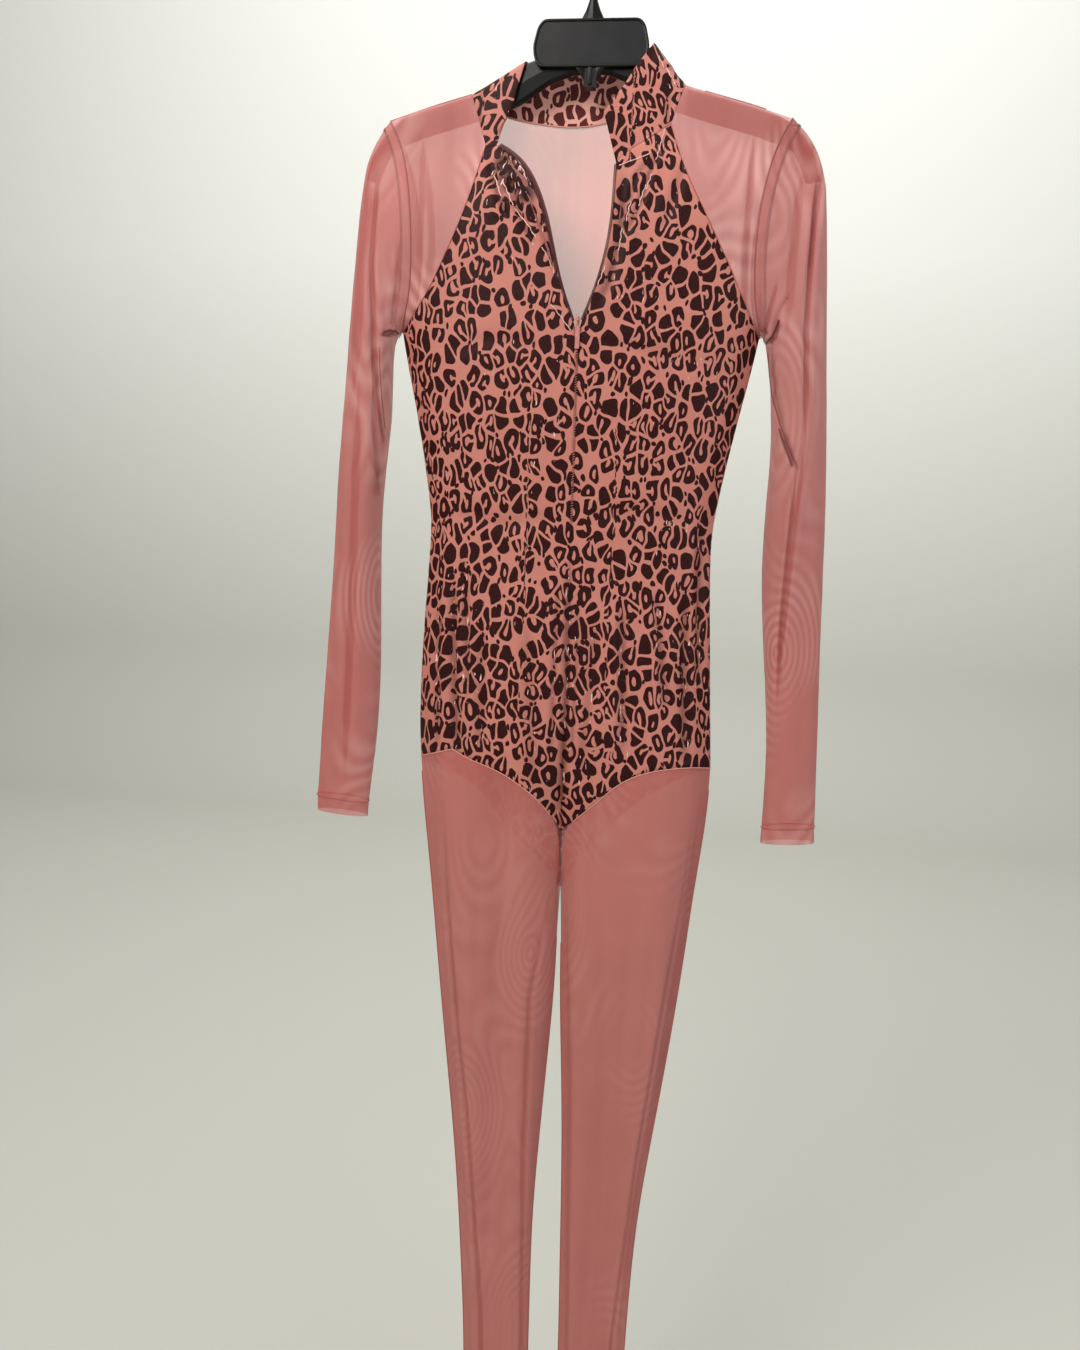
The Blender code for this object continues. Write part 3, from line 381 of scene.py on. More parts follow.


# Folds
# The garment hangs from its shoulders only, so the cloth drops in long troughs and sharp creases.
# Each row is one fold of a panel, given in mm: the points that it runs through in the front view,
# its width, its depth, and how dark the shade painted along it is.

FOLDS_MM = {
    "sleeve_left": [
        ([(-191, -190), (-192, -283), (-188, -337), (-187, -400)], 3.0, 2.4, 0.55),
        ([(-187, -395), (-186, -440), (-183, -495)], 2.6, 1.6, 0.5),
        ([(-186, -355), (-184, -405), (-179, -450)], 1.8, 1.6, 0.75),
        ([(-200, -391), (-203, -482), (-206, -594), (-213, -770)], 5.0, 1.8, 0.3),
        ([(-183, -349), (-176, -347), (-169, -344)], 2.2, 1.6, 1.0),
        ([(-165, -262), (-168, -300), (-174, -343)], 2.2, 1.2, 0.5),
        ([(-199, -195), (-203, -300), (-206, -400)], 8.0, 0.6, 0.16),
        ([(-216, -460), (-222, -620), (-229, -770)], 6.0, 1.2, 0.1),
    ],
    "sleeve_right": [
        ([(204, -195), (202, -279), (201, -335), (205, -398), (207, -440)], 2.8, 2.4, 0.6),
        ([(208, -200), (204, -245), (200, -300)], 2.2, 1.6, 0.45),
        ([(190, -205), (187, -254), (184, -339)], 5.0, 1.4, 0.2),
        ([(161, -348), (168, -349), (175, -345), (178, -330)], 2.0, 2.0, 1.0),
        ([(166, -343), (169, -322), (174, -298)], 1.8, 1.0, 0.3),
        ([(163, -345), (161, -328), (160, -305)], 1.6, 0.8, 0.25),
        ([(171, -343), (177, -322), (186, -306)], 1.8, 0.9, 0.25),
        ([(173, -350), (177, -388), (187, -427), (201, -458)], 2.2, 1.6, 0.45),
        ([(184, -428), (192, -443), (202, -460)], 2.4, 2.2, 1.0),
        ([(206, -434), (205, -469), (203, -504), (200, -576), (197, -640)], 2.6, 1.2, 0.35),
        ([(201, -457), (199, -522), (197, -595), (198, -675)], 2.2, 2.0, 0.6),
        ([(213, -450), (217, -600), (222, -770)], 7.0, 1.2, 0.1),
    ],
    "front_left": [
        ([(-84, -192), (-66, -204), (-53, -222), (-46, -240)], 13.0, 1.6, 1.0),
        ([(-76, -208), (-62, -226)], 10.0, 1.2, 0.8),
        ([(-84, -198), (-72, -196), (-62, -204)], 2.0, 1.4, 1.0),
        ([(-78, -212), (-64, -210), (-54, -220)], 2.0, -1.2, 0.3),
        ([(-72, -222), (-58, -222), (-46, -236)], 2.0, 1.2, 1.0),
        ([(-86, -194), (-78, -222), (-66, -252)], 3.0, 1.6, 0.6),
        ([(-70, -206), (-58, -240), (-40, -275)], 3.2, 1.8, 0.5),
        ([(-52, -222), (-34, -262), (-16, -306)], 3.0, 1.6, 0.4),
        ([(-110, -560), (-106, -660), (-99, -752)], 4.0, 2.6, 0.5),
        ([(-102, -545), (-95, -610), (-90, -690)], 3.4, 2.0, 0.4),
        ([(-124, -590), (-123, -660), (-121, -745)], 3.6, 2.0, 0.45),
        ([(-80, -610), (-79, -670), (-78, -745)], 5.0, 1.8, 0.3),
        ([(-38, -600), (-30, -690), (-24, -780)], 6.0, 1.6, 0.25),
        ([(0, -534), (1, -603), (3, -679), (2, -757), (0, -805)], 3.2, 1.2, 0.6),
        ([(-8, -560), (-9, -640), (-8, -740)], 2.4, 1.6, 0.4),
        ([(-120, -365), (-80, -352), (-30, -356)], 6.0, 0.8, 0.1),
        ([(-116, -505), (-60, -516), (-8, -508)], 7.0, 1.0, 0.12),
    ],
    "front_right": [
        ([(36, -206), (35, -258), (27, -300), (14, -330)], 4.6, 1.6, 0.55),
        ([(76, -172), (60, -202), (52, -232), (38, -268)], 2.4, 1.8, 0.45),
        ([(62, -190), (46, -214), (40, -240)], 2.4, 1.4, 0.35),
        ([(90, -190), (80, -230), (70, -262)], 4.0, 1.2, 0.2),
        ([(51, -580), (55, -650), (59, -735)], 4.0, 2.4, 0.5),
        ([(120, -500), (122, -580), (126, -680)], 4.0, 2.2, 0.45),
        ([(81, -570), (88, -620), (98, -690)], 3.6, 2.2, 0.45),
        ([(109, -560), (112, -640), (118, -745)], 4.0, 2.4, 0.5),
        ([(28, -590), (24, -680), (18, -770)], 5.0, 1.6, 0.25),
        ([(1, -534), (2, -603), (4, -679), (3, -757), (1, -805)], 3.2, 1.2, 0.6),
        ([(10, -570), (12, -650), (10, -750)], 2.4, 1.4, 0.35),
        ([(12, -352), (70, -360), (125, -372)], 6.0, 0.8, 0.1),
        ([(8, -512), (60, -500), (114, -508)], 7.0, 1.0, 0.12),
    ],
    "leg_front_left": [
        ([(-113, -775), (-106, -883), (-93, -1009), (-80, -1103), (-60, -1322), (-50, -1570)],
         2.6, 2.0, 0.42),
        ([(-123, -785), (-116, -900), (-101, -1050), (-86, -1162), (-68, -1330)], 7.0, 0.6, 0.12),
        ([(-6, -868), (-21, -977), (-22, -1139), (-17, -1346), (-15, -1570)], 2.6, 1.4, 0.3),
        ([(-64, -820), (-56, -1000), (-46, -1200), (-36, -1500)], 12.0, 2.0, 0.06),
        ([(-80, -860), (-66, -1060), (-52, -1300)], 6.0, 1.0, 0.1),
        ([(-40, -900), (-36, -1100), (-30, -1400)], 6.0, 1.0, 0.08),
    ],
    "leg_front_right": [
        ([(129, -776), (122, -867), (112, -948), (92, -1133), (76, -1330), (66, -1570)],
         2.0, 1.0, 0.35),
        ([(134, -776), (127, -880), (117, -985), (98, -1145), (82, -1335)], 5.0, 0.6, 0.18),
        ([(10, -877), (21, -1082), (29, -1338), (30, -1560)], 3.0, 1.2, 0.2),
        ([(78, -830), (72, -1071), (54, -1293), (48, -1500)], 12.0, 2.0, 0.06),
        ([(100, -850), (86, -1060), (68, -1300)], 6.0, 1.0, 0.1),
        ([(46, -880), (48, -1100), (44, -1400)], 6.0, 1.0, 0.08),
    ],
    "yoke_front_left": [
        ([(-120, -160), (-118, -220), (-126, -300)], 6.0, 0.9, 0.08),
        ([(-150, -170), (-146, -230), (-148, -310)], 3.6, 0.9, 0.2),
    ],
    "yoke_front_right": [
        ([(116, -160), (124, -220), (136, -300)], 6.0, 0.9, 0.08),
        ([(147, -170), (145, -235), (147, -320)], 3.0, 0.9, 0.25),
    ],
    "back_print": [
        ([(-40, -400), (-30, -600), (-26, -780)], 11.0, 2.2, 0.2),
        ([(36, -400), (32, -600), (28, -780)], 11.0, 2.0, 0.2),
        ([(-98, -480), (-92, -620), (-88, -760)], 6.0, 2.0, 0.3),
        ([(100, -480), (96, -620), (92, -750)], 6.0, 2.0, 0.3),
        ([(-90, -520), (0, -530), (92, -518)], 8.0, 1.2, 0.15),
    ],
    "back_yoke": [
        ([(-70, -170), (-56, -260), (-30, -350)], 10.0, 1.4, 0.06),
        ([(70, -170), (58, -260), (40, -350)], 10.0, 1.4, 0.06),
        ([(-150, -190), (-146, -260), (-150, -320)], 4.0, 1.0, 0.2),
        ([(150, -190), (146, -260), (150, -320)], 4.0, 1.0, 0.2),
    ],
    "leg_back_left": [
        ([(-86, -820), (-70, -1150), (-52, -1560)], 6.0, 2.0, 0.12),
        ([(-50, -900), (-42, -1200), (-32, -1560)], 6.0, 1.8, 0.1),
    ],
    "leg_back_right": [
        ([(88, -820), (76, -1150), (60, -1560)], 6.0, 2.0, 0.12),
        ([(54, -900), (48, -1200), (42, -1560)], 6.0, 1.8, 0.1),
    ],
    "collar": [
        ([(-97, -128), (-98, -150), (-96, -178)], 2.4, 1.0, 0.5),
        ([(72, -120), (70, -150), (72, -180)], 3.0, 0.8, 0.3),
        ([(60, -112), (82, -118), (96, -112)], 2.6, 0.7, 0.2),
    ],
}


def crease(mesh_points, points):
    """Each point's distance from a fold's line in the front view, and its fade towards the ends."""
    nearest = np.full(len(mesh_points), 1e9)
    along = np.zeros(len(mesh_points))
    lengths = [math.dist(a, b) for a, b in zip(points, points[1:])]
    total, done = sum(lengths), 0.0
    for (x0, z0), (x1, z1), length in zip(points, points[1:], lengths):
        run = np.array([x1 - x0, z1 - z0])
        offset = mesh_points[:, [0, 2]] - [x0, z0]
        t = np.clip(offset @ run / length**2, 0, 1)
        apart = np.linalg.norm(offset - t[:, None] * run, axis=1)
        closer = apart < nearest
        nearest[closer] = apart[closer]
        along[closer] = (done + t[closer] * length) / total
        done += length
    fade = np.clip(np.minimum(along, 1 - along) * 5, 0, 1)
    return nearest, fade * fade * (3 - 2 * fade)


UNEVEN_MM = 0.55
UNEVEN_WIDE_MM, UNEVEN_TALL_MM = 34, 95
FINE_UNEVEN_SIZE_MM = 17
BORDER_CALM = 0.4  # share of a fold's depth that is left next to a seam


def fold_panel(cloth, rows):
    """Presses the folds into the side they lie on, adds faint unevenness, stores their painted
    shade.
    """
    mesh = cloth.data
    places = np.array([v.co for v in mesh.vertices]) / MM
    normals = np.zeros(len(mesh.vertices) * 3)
    mesh.vertex_normals.foreach_get("vector", normals)
    normals = normals.reshape(-1, 3)
    border, _ = border_corners(mesh)
    depth = np.zeros(len(places))
    dark = np.zeros(len(places))
    facing = -1 if "back" not in cloth.name else 1
    side = 1.0
    if cloth.name.startswith(("sleeve", "collar")):
        side = np.clip(0.35 + 1.3 * facing * normals[:, 1], 0.0, 1.0)
    for points, width, most, darker in rows:
        apart, fade = crease(places, points)
        trough = np.exp(-((apart / width) ** 2))
        shoulder = np.exp(-(((apart - 2.1 * width) / width) ** 2))
        depth += most * fade * (trough - 0.4 * shoulder) * side
        # painted shade: how much each fold darkens the cloth's colour, stored below as the fold
        # attribute
        dark = np.maximum(dark, darker * fade * np.exp(-((apart / (0.9 * width)) ** 2)) * side)
    calm = np.ones(len(places))
    calm[border] = 0.0
    for v, (x, y, z) in enumerate(places):
        spread = Vector((x / UNEVEN_WIDE_MM, y / UNEVEN_WIDE_MM, z / UNEVEN_TALL_MM))
        wave = noise.noise(spread)
        wave += 0.4 * noise.noise(Vector((x, y, z)) / FINE_UNEVEN_SIZE_MM)
        depth[v] += UNEVEN_MM * wave
    for edge in mesh.edges:
        a, b = edge.vertices
        if calm[a] == 0.0 and calm[b] == 1.0:
            calm[b] = BORDER_CALM
        if calm[b] == 0.0 and calm[a] == 1.0:
            calm[a] = BORDER_CALM
    moved = places - normals * (depth * calm)[:, None]
    mesh.vertices.foreach_set("co", (moved * MM).ravel())
    layer = mesh.attributes.new("fold", "FLOAT", "POINT")
    layer.data.foreach_set("value", dark)
    mesh.update()


def outline_of(cloth):
    """A panel's border as closed loops of places and outward normals."""
    shape = bmesh.new()
    shape.from_mesh(cloth.data)
    left = {v.index: v for v in shape.verts if v.is_boundary}
    loops = []
    while left:
        loop = [left.pop(min(left))]
        while True:
            step = [e.other_vert(loop[-1]) for e in loop[-1].link_edges if e.is_boundary]
            step = [v.index for v in step if v.index in left]
            if not step:
                break
            loop.append(left.pop(step[0]))
        loops.append([(v.co.copy(), v.normal.copy()) for v in loop])
    shape.free()
    return loops


outlines = {}
for node, cloth in panels.items():
    fold_panel(cloth, FOLDS_MM.get(node, []))
    outlines[node] = outline_of(cloth)


# Leopard knit
# Polyester and elastane jersey, dyed dusty pink, screen-printed with close maroon spots and a
# broken transparent foil. The print is a layer of uneven cells, taller than wide: some spots are
# solid, some are rings round a pink middle, some are open on one side, with pink channels between.

CELL_MM = 15.5
CELL_STRETCH = (1.22, 0.82, 1.0)
CHANNEL, CHANNEL_VARIES = 0.058, 0.05  # the pink that each spot keeps round itself, in cells
REACH, REACH_VARIES = 0.475, 0.12  # the circle that cuts a cell's corners off, in cells
ROOM_FOR_RING = 0.3  # a spot in a narrower cell stays solid
RING_FROM, OPEN_FROM = 0.2, 0.45  # of a spot's chance: a ring above the first, open above the second
PRINT_EDGE = 0.012
DOTS_A_CELL = 2.15
STITCH_MM = 1.8  # the real wales are about 0.6 mm apart, drawn coarser so that they show
WAVE_FOR_MM = 314.0  # scale of a wave texture whose bands are 1 mm apart
TO_MIDDLE = {"voronoi_dimensions": "2D", "feature": "F1"}
TO_WALL = {"voronoi_dimensions": "2D", "feature": "DISTANCE_TO_EDGE"}
KNIT_THICKNESS = 0.6 * MM
SIDE_DEPTH = 0.032
SIDE_STRETCH = 0.75
FLAT_MIDDLE = 0.04
BACK_SHIFT = 0.37  # takes the back's print from another place of the cloth than the front's


def cut_coordinates(cloth, sign):
    """Stores where each point lies in the flat cut: across, round the side's curve, and down."""
    mesh = cloth.data
    places = np.array([v.co for v in mesh.vertices])
    round_side = SIDE_DEPTH - np.minimum(np.abs(places[:, 1]), SIDE_DEPTH)
    across = places[:, 0] + np.sign(places[:, 0]) * SIDE_STRETCH * round_side
    across = np.where(np.abs(places[:, 0]) < FLAT_MIDDLE, places[:, 0], across)
    flat = np.stack([across + BACK_SHIFT * sign, places[:, 2], np.zeros(len(places))], axis=1)
    layer = mesh.attributes.new("cut", "FLOAT_VECTOR", "POINT")
    layer.data.foreach_set("vector", flat.ravel())


def leopard_knit(name, ground, ground_dark, spot, foil, roughness):
    """Printed jersey: soft wales, a slightly proud print, painted foil glints and painted fold
    shade.
    """
    material, shader = new_material(name, roughness, IOR=1.45, Specular_IOR_Level=0.12)
    add = partial(add_node, material)
    cut = add("Attribute", attribute_name="cut").outputs["Vector"]
    fold = add("Attribute", attribute_name="fold").outputs["Fac"]

    # cells with bent walls, and three chances that belong to each cell
    drift = add("TexNoise", {"Vector": cut, "Scale": 62.0, "Detail": 0.5}).outputs["Color"]
    shift = add("VectorMath", [drift, (0.5, 0.5, 0.5)], operation="SUBTRACT")
    bend = add("VectorMath", [shift, (0.011, 0.011, 0.0)], operation="MULTIPLY")
    bent = add("VectorMath", [cut, bend], operation="ADD")
    cells = add("VectorMath", [bent, CELL_STRETCH], operation="MULTIPLY")
    grid = {"Scale": 1000.0 / CELL_MM, "Randomness": 0.86}
    nearest = add("TexVoronoi", {"Vector": cells, **grid}, **TO_MIDDLE)
    walls = add("TexVoronoi", {"Vector": cells, **grid}, **TO_WALL)
    chance = add("SeparateColor", {"Color": nearest.outputs["Color"]})
    red, green, blue = [chance.outputs[k] for k in ("Red", "Green", "Blue")]

    # how far inside its cell a point is, with the cell's corners cut off by a circle
    channel = add("Math", [red, CHANNEL_VARIES, CHANNEL], operation="MULTIPLY_ADD")
    inset = add("Math", [walls, channel], operation="SUBTRACT")
    reach = add("Math", [blue, REACH_VARIES, REACH], operation="MULTIPLY_ADD")
    circle = add("Math", [reach, nearest], operation="SUBTRACT")
    circle = add("Math", [circle, 0.8], operation="MULTIPLY")
    inside = add("Math", [inset, circle, 0.15], operation="SMOOTH_MIN")

    # which spots are rings, and which rings are open: only those in a cell with room
    heart = nearest.outputs["Position"]
    room = add("TexVoronoi", {"Vector": heart, **grid}, **TO_WALL)
    roomy = add("Math", [room, ROOM_FOR_RING], operation="GREATER_THAN")
    is_ring = add("Math", [green, RING_FROM], operation="GREATER_THAN")
    is_ring = add("Math", [is_ring, roomy], operation="MULTIPLY")
    is_open = add("Math", [green, OPEN_FROM], operation="GREATER_THAN")
    is_open = add("Math", [is_open, roomy], operation="MULTIPLY")

    # the pink middle of a ring
    offset = add("VectorMath", [cells, heart], operation="SUBTRACT")
    oval = add("VectorMath", [offset, (1.25, 0.8, 1.0)], operation="MULTIPLY")
    oval = add("VectorMath", [oval], operation="LENGTH").outputs["Value"]
    middle = add("Math", [red, 0.0012, 0.0019], operation="MULTIPLY_ADD")
    middle = add("Math", [middle, oval], operation="SUBTRACT")
    middle = add("Math", [middle, 60.0], operation="MULTIPLY")
    no_ring = add("Math", [1.0, is_ring], operation="SUBTRACT")
    middle = add("Math", [middle, no_ring], operation="SUBTRACT")

    # the gap that opens it, on a side of its own
    turn = add("Math", [blue, 40.0], operation="MULTIPLY")
    cosine, sine = [add("Math", [turn], operation=kind) for kind in ("COSINE", "SINE")]
    heading = add("CombineXYZ", [cosine, sine])
    ahead = add("VectorMath", [offset, heading], operation="DOT_PRODUCT").outputs["Value"]
    aside = add("VectorMath", [offset, heading], operation="CROSS_PRODUCT")
    aside = add("VectorMath", [aside], operation="LENGTH").outputs["Value"]
    gap = add("Math", [0.0011, aside], operation="SUBTRACT")
    ahead = add("Math", [ahead, 0.0006], operation="ADD")
    gap = add("Math", [gap, ahead], operation="MINIMUM")
    gap = add("Math", [gap, 60.0], operation="MULTIPLY")
    no_gap = add("Math", [1.0, is_open], operation="SUBTRACT")
    gap = add("Math", [gap, no_gap], operation="SUBTRACT")
    hollow = add("Math", [middle, gap, 0.06], operation="SMOOTH_MAX")
    solid = add("Math", [hollow, -1.0], operation="MULTIPLY")
    spots = add("Math", [inside, solid, 0.05], operation="SMOOTH_MIN")

    # small dots where three spots leave room
    fine_grid = {"Vector": cells, "Scale": DOTS_A_CELL * 1000.0 / CELL_MM, "Randomness": 0.9}
    dots = add("TexVoronoi", fine_grid, **TO_MIDDLE)
    at_dot = {"Vector": dots.outputs["Position"], **grid}
    to_spot = add("TexVoronoi", at_dot, **TO_MIDDLE)
    to_wall = add("TexVoronoi", at_dot, **TO_WALL)
    in_corner = add("Math", [to_spot, 0.56], operation="GREATER_THAN")
    on_wall = add("Math", [to_wall, 0.06], operation="LESS_THAN")
    allowed = add("Math", [in_corner, on_wall], operation="MULTIPLY")
    dot = add("Math", [allowed, 0.3], operation="MULTIPLY")
    dot = add("Math", [dot, dots], operation="SUBTRACT")
    field = add("Math", [spots, dot], operation="MAXIMUM")
    soft_edge = {"Value": field, "From Min": -PRINT_EDGE, "From Max": PRINT_EDGE}
    edge = add("MapRange", soft_edge, interpolation_type="SMOOTHSTEP")

    # dye and ink
    patches = add("TexNoise", {"Vector": cut, "Scale": 24.0, "Detail": 4.0})
    dye = {0: patches, 6: linear(ground), 7: linear(ground_dark)}
    dye = add("Mix", dye, data_type="RGBA").outputs[2]
    worn = add("TexNoise", {"Vector": cut, "Scale": 900.0, "Detail": 2.0})
    ink = add("Math", [worn, -0.16, 1.06], operation="MULTIPLY_ADD")
    ink = add("Math", [edge, ink], operation="MULTIPLY")
    printed = add("Mix", {0: ink, 6: dye, 7: linear(spot)}, data_type="RGBA").outputs[2]

    # slivers of foil, drawn larger than the real cracks so that they show: they are smoother, and
    # their pale colour is a painted highlight, more often in the folds
    long_way = add("Mapping", {"Vector": cut, "Scale": (2.6, 0.5, 1.0)})
    flecks = add("TexNoise", {"Vector": long_way, "Scale": 150.0, "Detail": 3.0})
    zones = add("TexNoise", {"Vector": cut, "Scale": 14.0, "Detail": 1.0})
    creased = add("Math", [fold, -0.08, 0.69], operation="MULTIPLY_ADD")
    glint = add("Math", [flecks, creased], operation="GREATER_THAN")
    foiled = add("Math", [zones, fold], operation="ADD")
    foiled = add("Math", [foiled, 0.57], operation="GREATER_THAN")
    glint = add("Math", [glint, foiled], operation="MULTIPLY")
    glint = add("Math", [glint, foil], operation="MULTIPLY")
    # painted shade: along the folds the colour darkens towards deep maroon
    shaded = {0: fold, 6: printed, 7: linear("#2A0F10")}
    shaded = add("Mix", shaded, data_type="RGBA").outputs[2]
    finished = {0: glint, 6: shaded, 7: linear("#EFC4BA")}
    finished = add("Mix", finished, data_type="RGBA").outputs[2]

    wales = {"Vector": cut, "Scale": WAVE_FOR_MM / STITCH_MM, "Distortion": 1.2, "Detail": 1.0}
    wales = add("TexWave", wales, bands_direction="X").outputs["Fac"]
    relief = add("Math", [edge, 0.6, wales], operation="MULTIPLY_ADD")
    bump = add("Bump", {"Height": relief, "Strength": 0.22, "Distance": 0.25 * MM})
    gloss = add("Math", [glint, -0.3, roughness], operation="MULTIPLY_ADD")
    for source, socket in ((finished, "Base Color"), (gloss, "Roughness"), (bump, "Normal")):
        link(material, source, shader.inputs[socket])
    return material


# the reverse of the jersey is matt and paler, with the print grinning through; the collar is lined
# with its own face
knit_face = leopard_knit("foiled_leopard_jersey", "#CB8577", "#BC766A", "#260608", 1.0, 0.46)
knit_reverse = leopard_knit("jersey_reverse", "#FFEDE6", "#F6DFD6", "#D2A79D", 0.0, 0.8)
collar_lining = leopard_knit("collar_lining", "#F0B2A4", "#E2A294", "#521A1A", 0.0, 0.6)

for node in KNIT:
    cloth = panels[node]
    cut_coordinates(cloth, 1 if node == "back_print" else 0)
    cloth.data.materials.append(knit_face)
    cloth.data.materials.append(collar_lining if node == "collar" else knit_reverse)
    choose(cloth)
    thickness = cloth.modifiers.new("thickness", "SOLIDIFY")
    thickness.thickness = KNIT_THICKNESS
    thickness.offset = -1.0
    thickness.material_offset = 1
    bpy.ops.object.modifier_apply(modifier=thickness.name)
    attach(cloth, "garment")
    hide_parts(node)


# Sheer mesh
# Nylon and elastane power mesh, dusty rose, so open that what lies behind shows. Where front and
# back lie close, their nets beat against each other in pale nested arcs, about 5 mm apart. The net
# itself is finer than the render, so it is drawn as a soft rib of 1.4 mm.

RIB_MM = 1.4
MOIRE_MM = 5.0
NESTS_PER_M = 13.0
NEST_STRETCH = (1.0, 1.0, 0.5)
DRAPE_PER_M = (30.0, 12.0, 1.6)


def power_mesh(name, thread, shade, alpha, ripple):
    """Power mesh: matt, see-through by its alpha, a slight sheen where it turns away, painted shade.
    """
    material, shader = new_material(
        name, 0.66, Sheen_Weight=0.06, Sheen_Roughness=0.5, Alpha=alpha, IOR=1.45
    )
    add = partial(add_node, material)
    place = add("TexCoord").outputs["Object"]
    fold = add("Attribute", attribute_name="fold").outputs["Fac"]
    cloudy = add("TexNoise", {"Vector": place, "Scale": 14.0, "Detail": 3.0})

    # two layers of knit make moire: fine arcs that nest round scattered middles
    stretched = add("VectorMath", [place, NEST_STRETCH], operation="MULTIPLY")
    nests = {"Vector": stretched, "Scale": NESTS_PER_M, "Smoothness": 0.7}
    nests = add("TexVoronoi", nests, feature="SMOOTH_F1")
    arcs_a_nest = 2 * math.pi * 1000 / NESTS_PER_M / MOIRE_MM
    arcs = add("Math", [nests, arcs_a_nest], operation="MULTIPLY")
    arcs = add("Math", [arcs], operation="SINE")
    arcs = add("Math", [arcs, 0.5, 0.5], operation="MULTIPLY_ADD")
    patches = add("TexNoise", {"Vector": place, "Scale": 9.0, "Detail": 1.0})
    shown = add("MapRange", {"Value": patches, "From Min": 0.42, "From Max": 0.6})
    strength = add("Math", [arcs, ripple], operation="MULTIPLY")
    strength = add("Math", [strength, shown], operation="MULTIPLY")

    # painted shadows of the drape, long and soft, and painted shade in the folds where cloth lies
    # doubled
    drape_way = add("VectorMath", [place, DRAPE_PER_M], operation="MULTIPLY")
    drape = add("TexNoise", {"Vector": drape_way, "Scale": 1.0, "Detail": 2.0})
    drape = add("MapRange", {"Value": drape, "From Min": 0.44, "From Max": 0.7})
    drape = add("Math", [drape, 0.4], operation="MULTIPLY")
    doubled = add("Math", [fold, 0.45], operation="MULTIPLY")
    colour = linear(thread)
    for share, other in (
        (cloudy, shade), (drape, "#A6524C"), (strength, "#F0B4AC"), (doubled, "#6E2A27")
    ):
        colour = add("Mix", {0: share, 6: colour, 7: linear(other)}, data_type="RGBA").outputs[2]

    net = {"Vector": place, "Scale": WAVE_FOR_MM / RIB_MM, "Distortion": 0.6}
    net = add("TexWave", net, bands_direction="X").outputs["Fac"]
    bump = add("Bump", {"Height": net, "Strength": 0.15, "Distance": 0.2 * MM})
    link(material, colour, shader.inputs["Base Color"])
    link(material, bump, shader.inputs["Normal"])
    return material


# lit and shaded copies of one mesh: each part's colour matched to how light it looks, the back
# palest
mesh_yoke = power_mesh("power_mesh_yoke", "#C4756F", "#BA6C66", 0.74, 0.5)
mesh_back = power_mesh("power_mesh_single_layer", "#F07868", "#E87060", 0.58, 0.04)
mesh_sleeve = power_mesh("power_mesh_sleeve", "#C8665E", "#BA5A54", 0.68, 0.3)
mesh_leg = power_mesh("power_mesh_leg", "#CA7269", "#BC665E", 0.76, 0.1)
mesh_edge = power_mesh("power_mesh_seam_allowance", "#D98078", "#CC746C", 0.3, 0.0)
# painted shade: the tucks' and the fork strip's dark colour, on top of their real extra layer
shaded_tuck_mesh = power_mesh("power_mesh_tuck_painted_shade", "#9A4640", "#903E3A", 0.6, 0.0)
mesh_band = power_mesh("power_mesh_armhole_band", "#E0908A", "#D2827C", 0.42, 0.0)
MESH_FINISH = {
    "yoke": mesh_yoke,
    "back": mesh_back,
    "slee": mesh_sleeve,
    "cuff": mesh_sleeve,
    "leg_": mesh_leg,
}

for node in MESH:
    cloth = panels[node]
    cloth.data.materials.append(MESH_FINISH[node[:4]])
    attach(cloth, "garment")
    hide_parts(node)


# Tucks in the sheer cloth
# Where a sleeve or leg is folded on itself the mesh lies doubled, and that makes the fold dark.
# Each row of the fold table that is dark enough gets its second layer, laid inside the panel, in a
# mesh whose darker colour is painted shade.

TUCKED = 0.16  # how dark a fold is from which it gets a second layer
TUCKED_TWICE = 0.5  # and from which it gets a third
TUCK_STEP_MM = 6


def surface(node):
    """A panel's surface, to find places on it."""
    mesh = panels[node].data
    faces = [tuple(p.vertices) for p in mesh.polygons]
    return BVHTree.FromPolygons([v.co for v in mesh.vertices], faces)


def join_rows(shape, rows):
    """Faces between rows of vertices that lie side by side."""
    for one, two in zip(rows, rows[1:]):
        for k in range(len(one) - 1):
            shape.faces.new((one[k], one[k + 1], two[k + 1], two[k]))


def thin_piece(name, shape, material, smooth=True):
    """Turns a shape into a dressed piece that hangs with the garment."""
    mesh = bpy.data.meshes.new(name)
    shape.to_mesh(mesh)
    shape.free()
    mesh.attributes.new("fold", "FLOAT", "POINT")
    mesh.materials.append(material)
    if smooth:
        mesh.shade_smooth()
    thing = bpy.data.objects.new(name, mesh)
    bpy.context.scene.collection.objects.link(thing)
    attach(thing, "garment")


def tuck_rows(shape, tree, way, places, width, layer):
    """One layer of a tuck: rows of three vertices across the fold, narrow at its ends."""
    rows = []
    last = len(places) - 1
    for k, (x, z) in enumerate(places):
        ahead = Vector(places[min(k + 1, last)]) - Vector(places[max(k - 1, 0)])
        across = Vector((-ahead.y, ahead.x)).normalized()
        end = min(k, last - k) / max(1, last)
        half = width * (0.75 - 0.25 * layer) * min(1.0, 0.12 + 5 * end) * MM
        row = []
        for t in (-1.0, 0.0, 1.0):
            start = Vector((x * MM + across.x * t * half, 0, z * MM + across.y * t * half))
            place, normal, _, _ = tree.ray_cast(start - way * 0.2, way)
            if place is None:
                place, normal, _, _ = tree.find_nearest(start - way * 0.02)
            row.append(shape.verts.new(place - normal * (0.8 + 0.7 * layer) * MM))
        rows.append(row)
    return rows


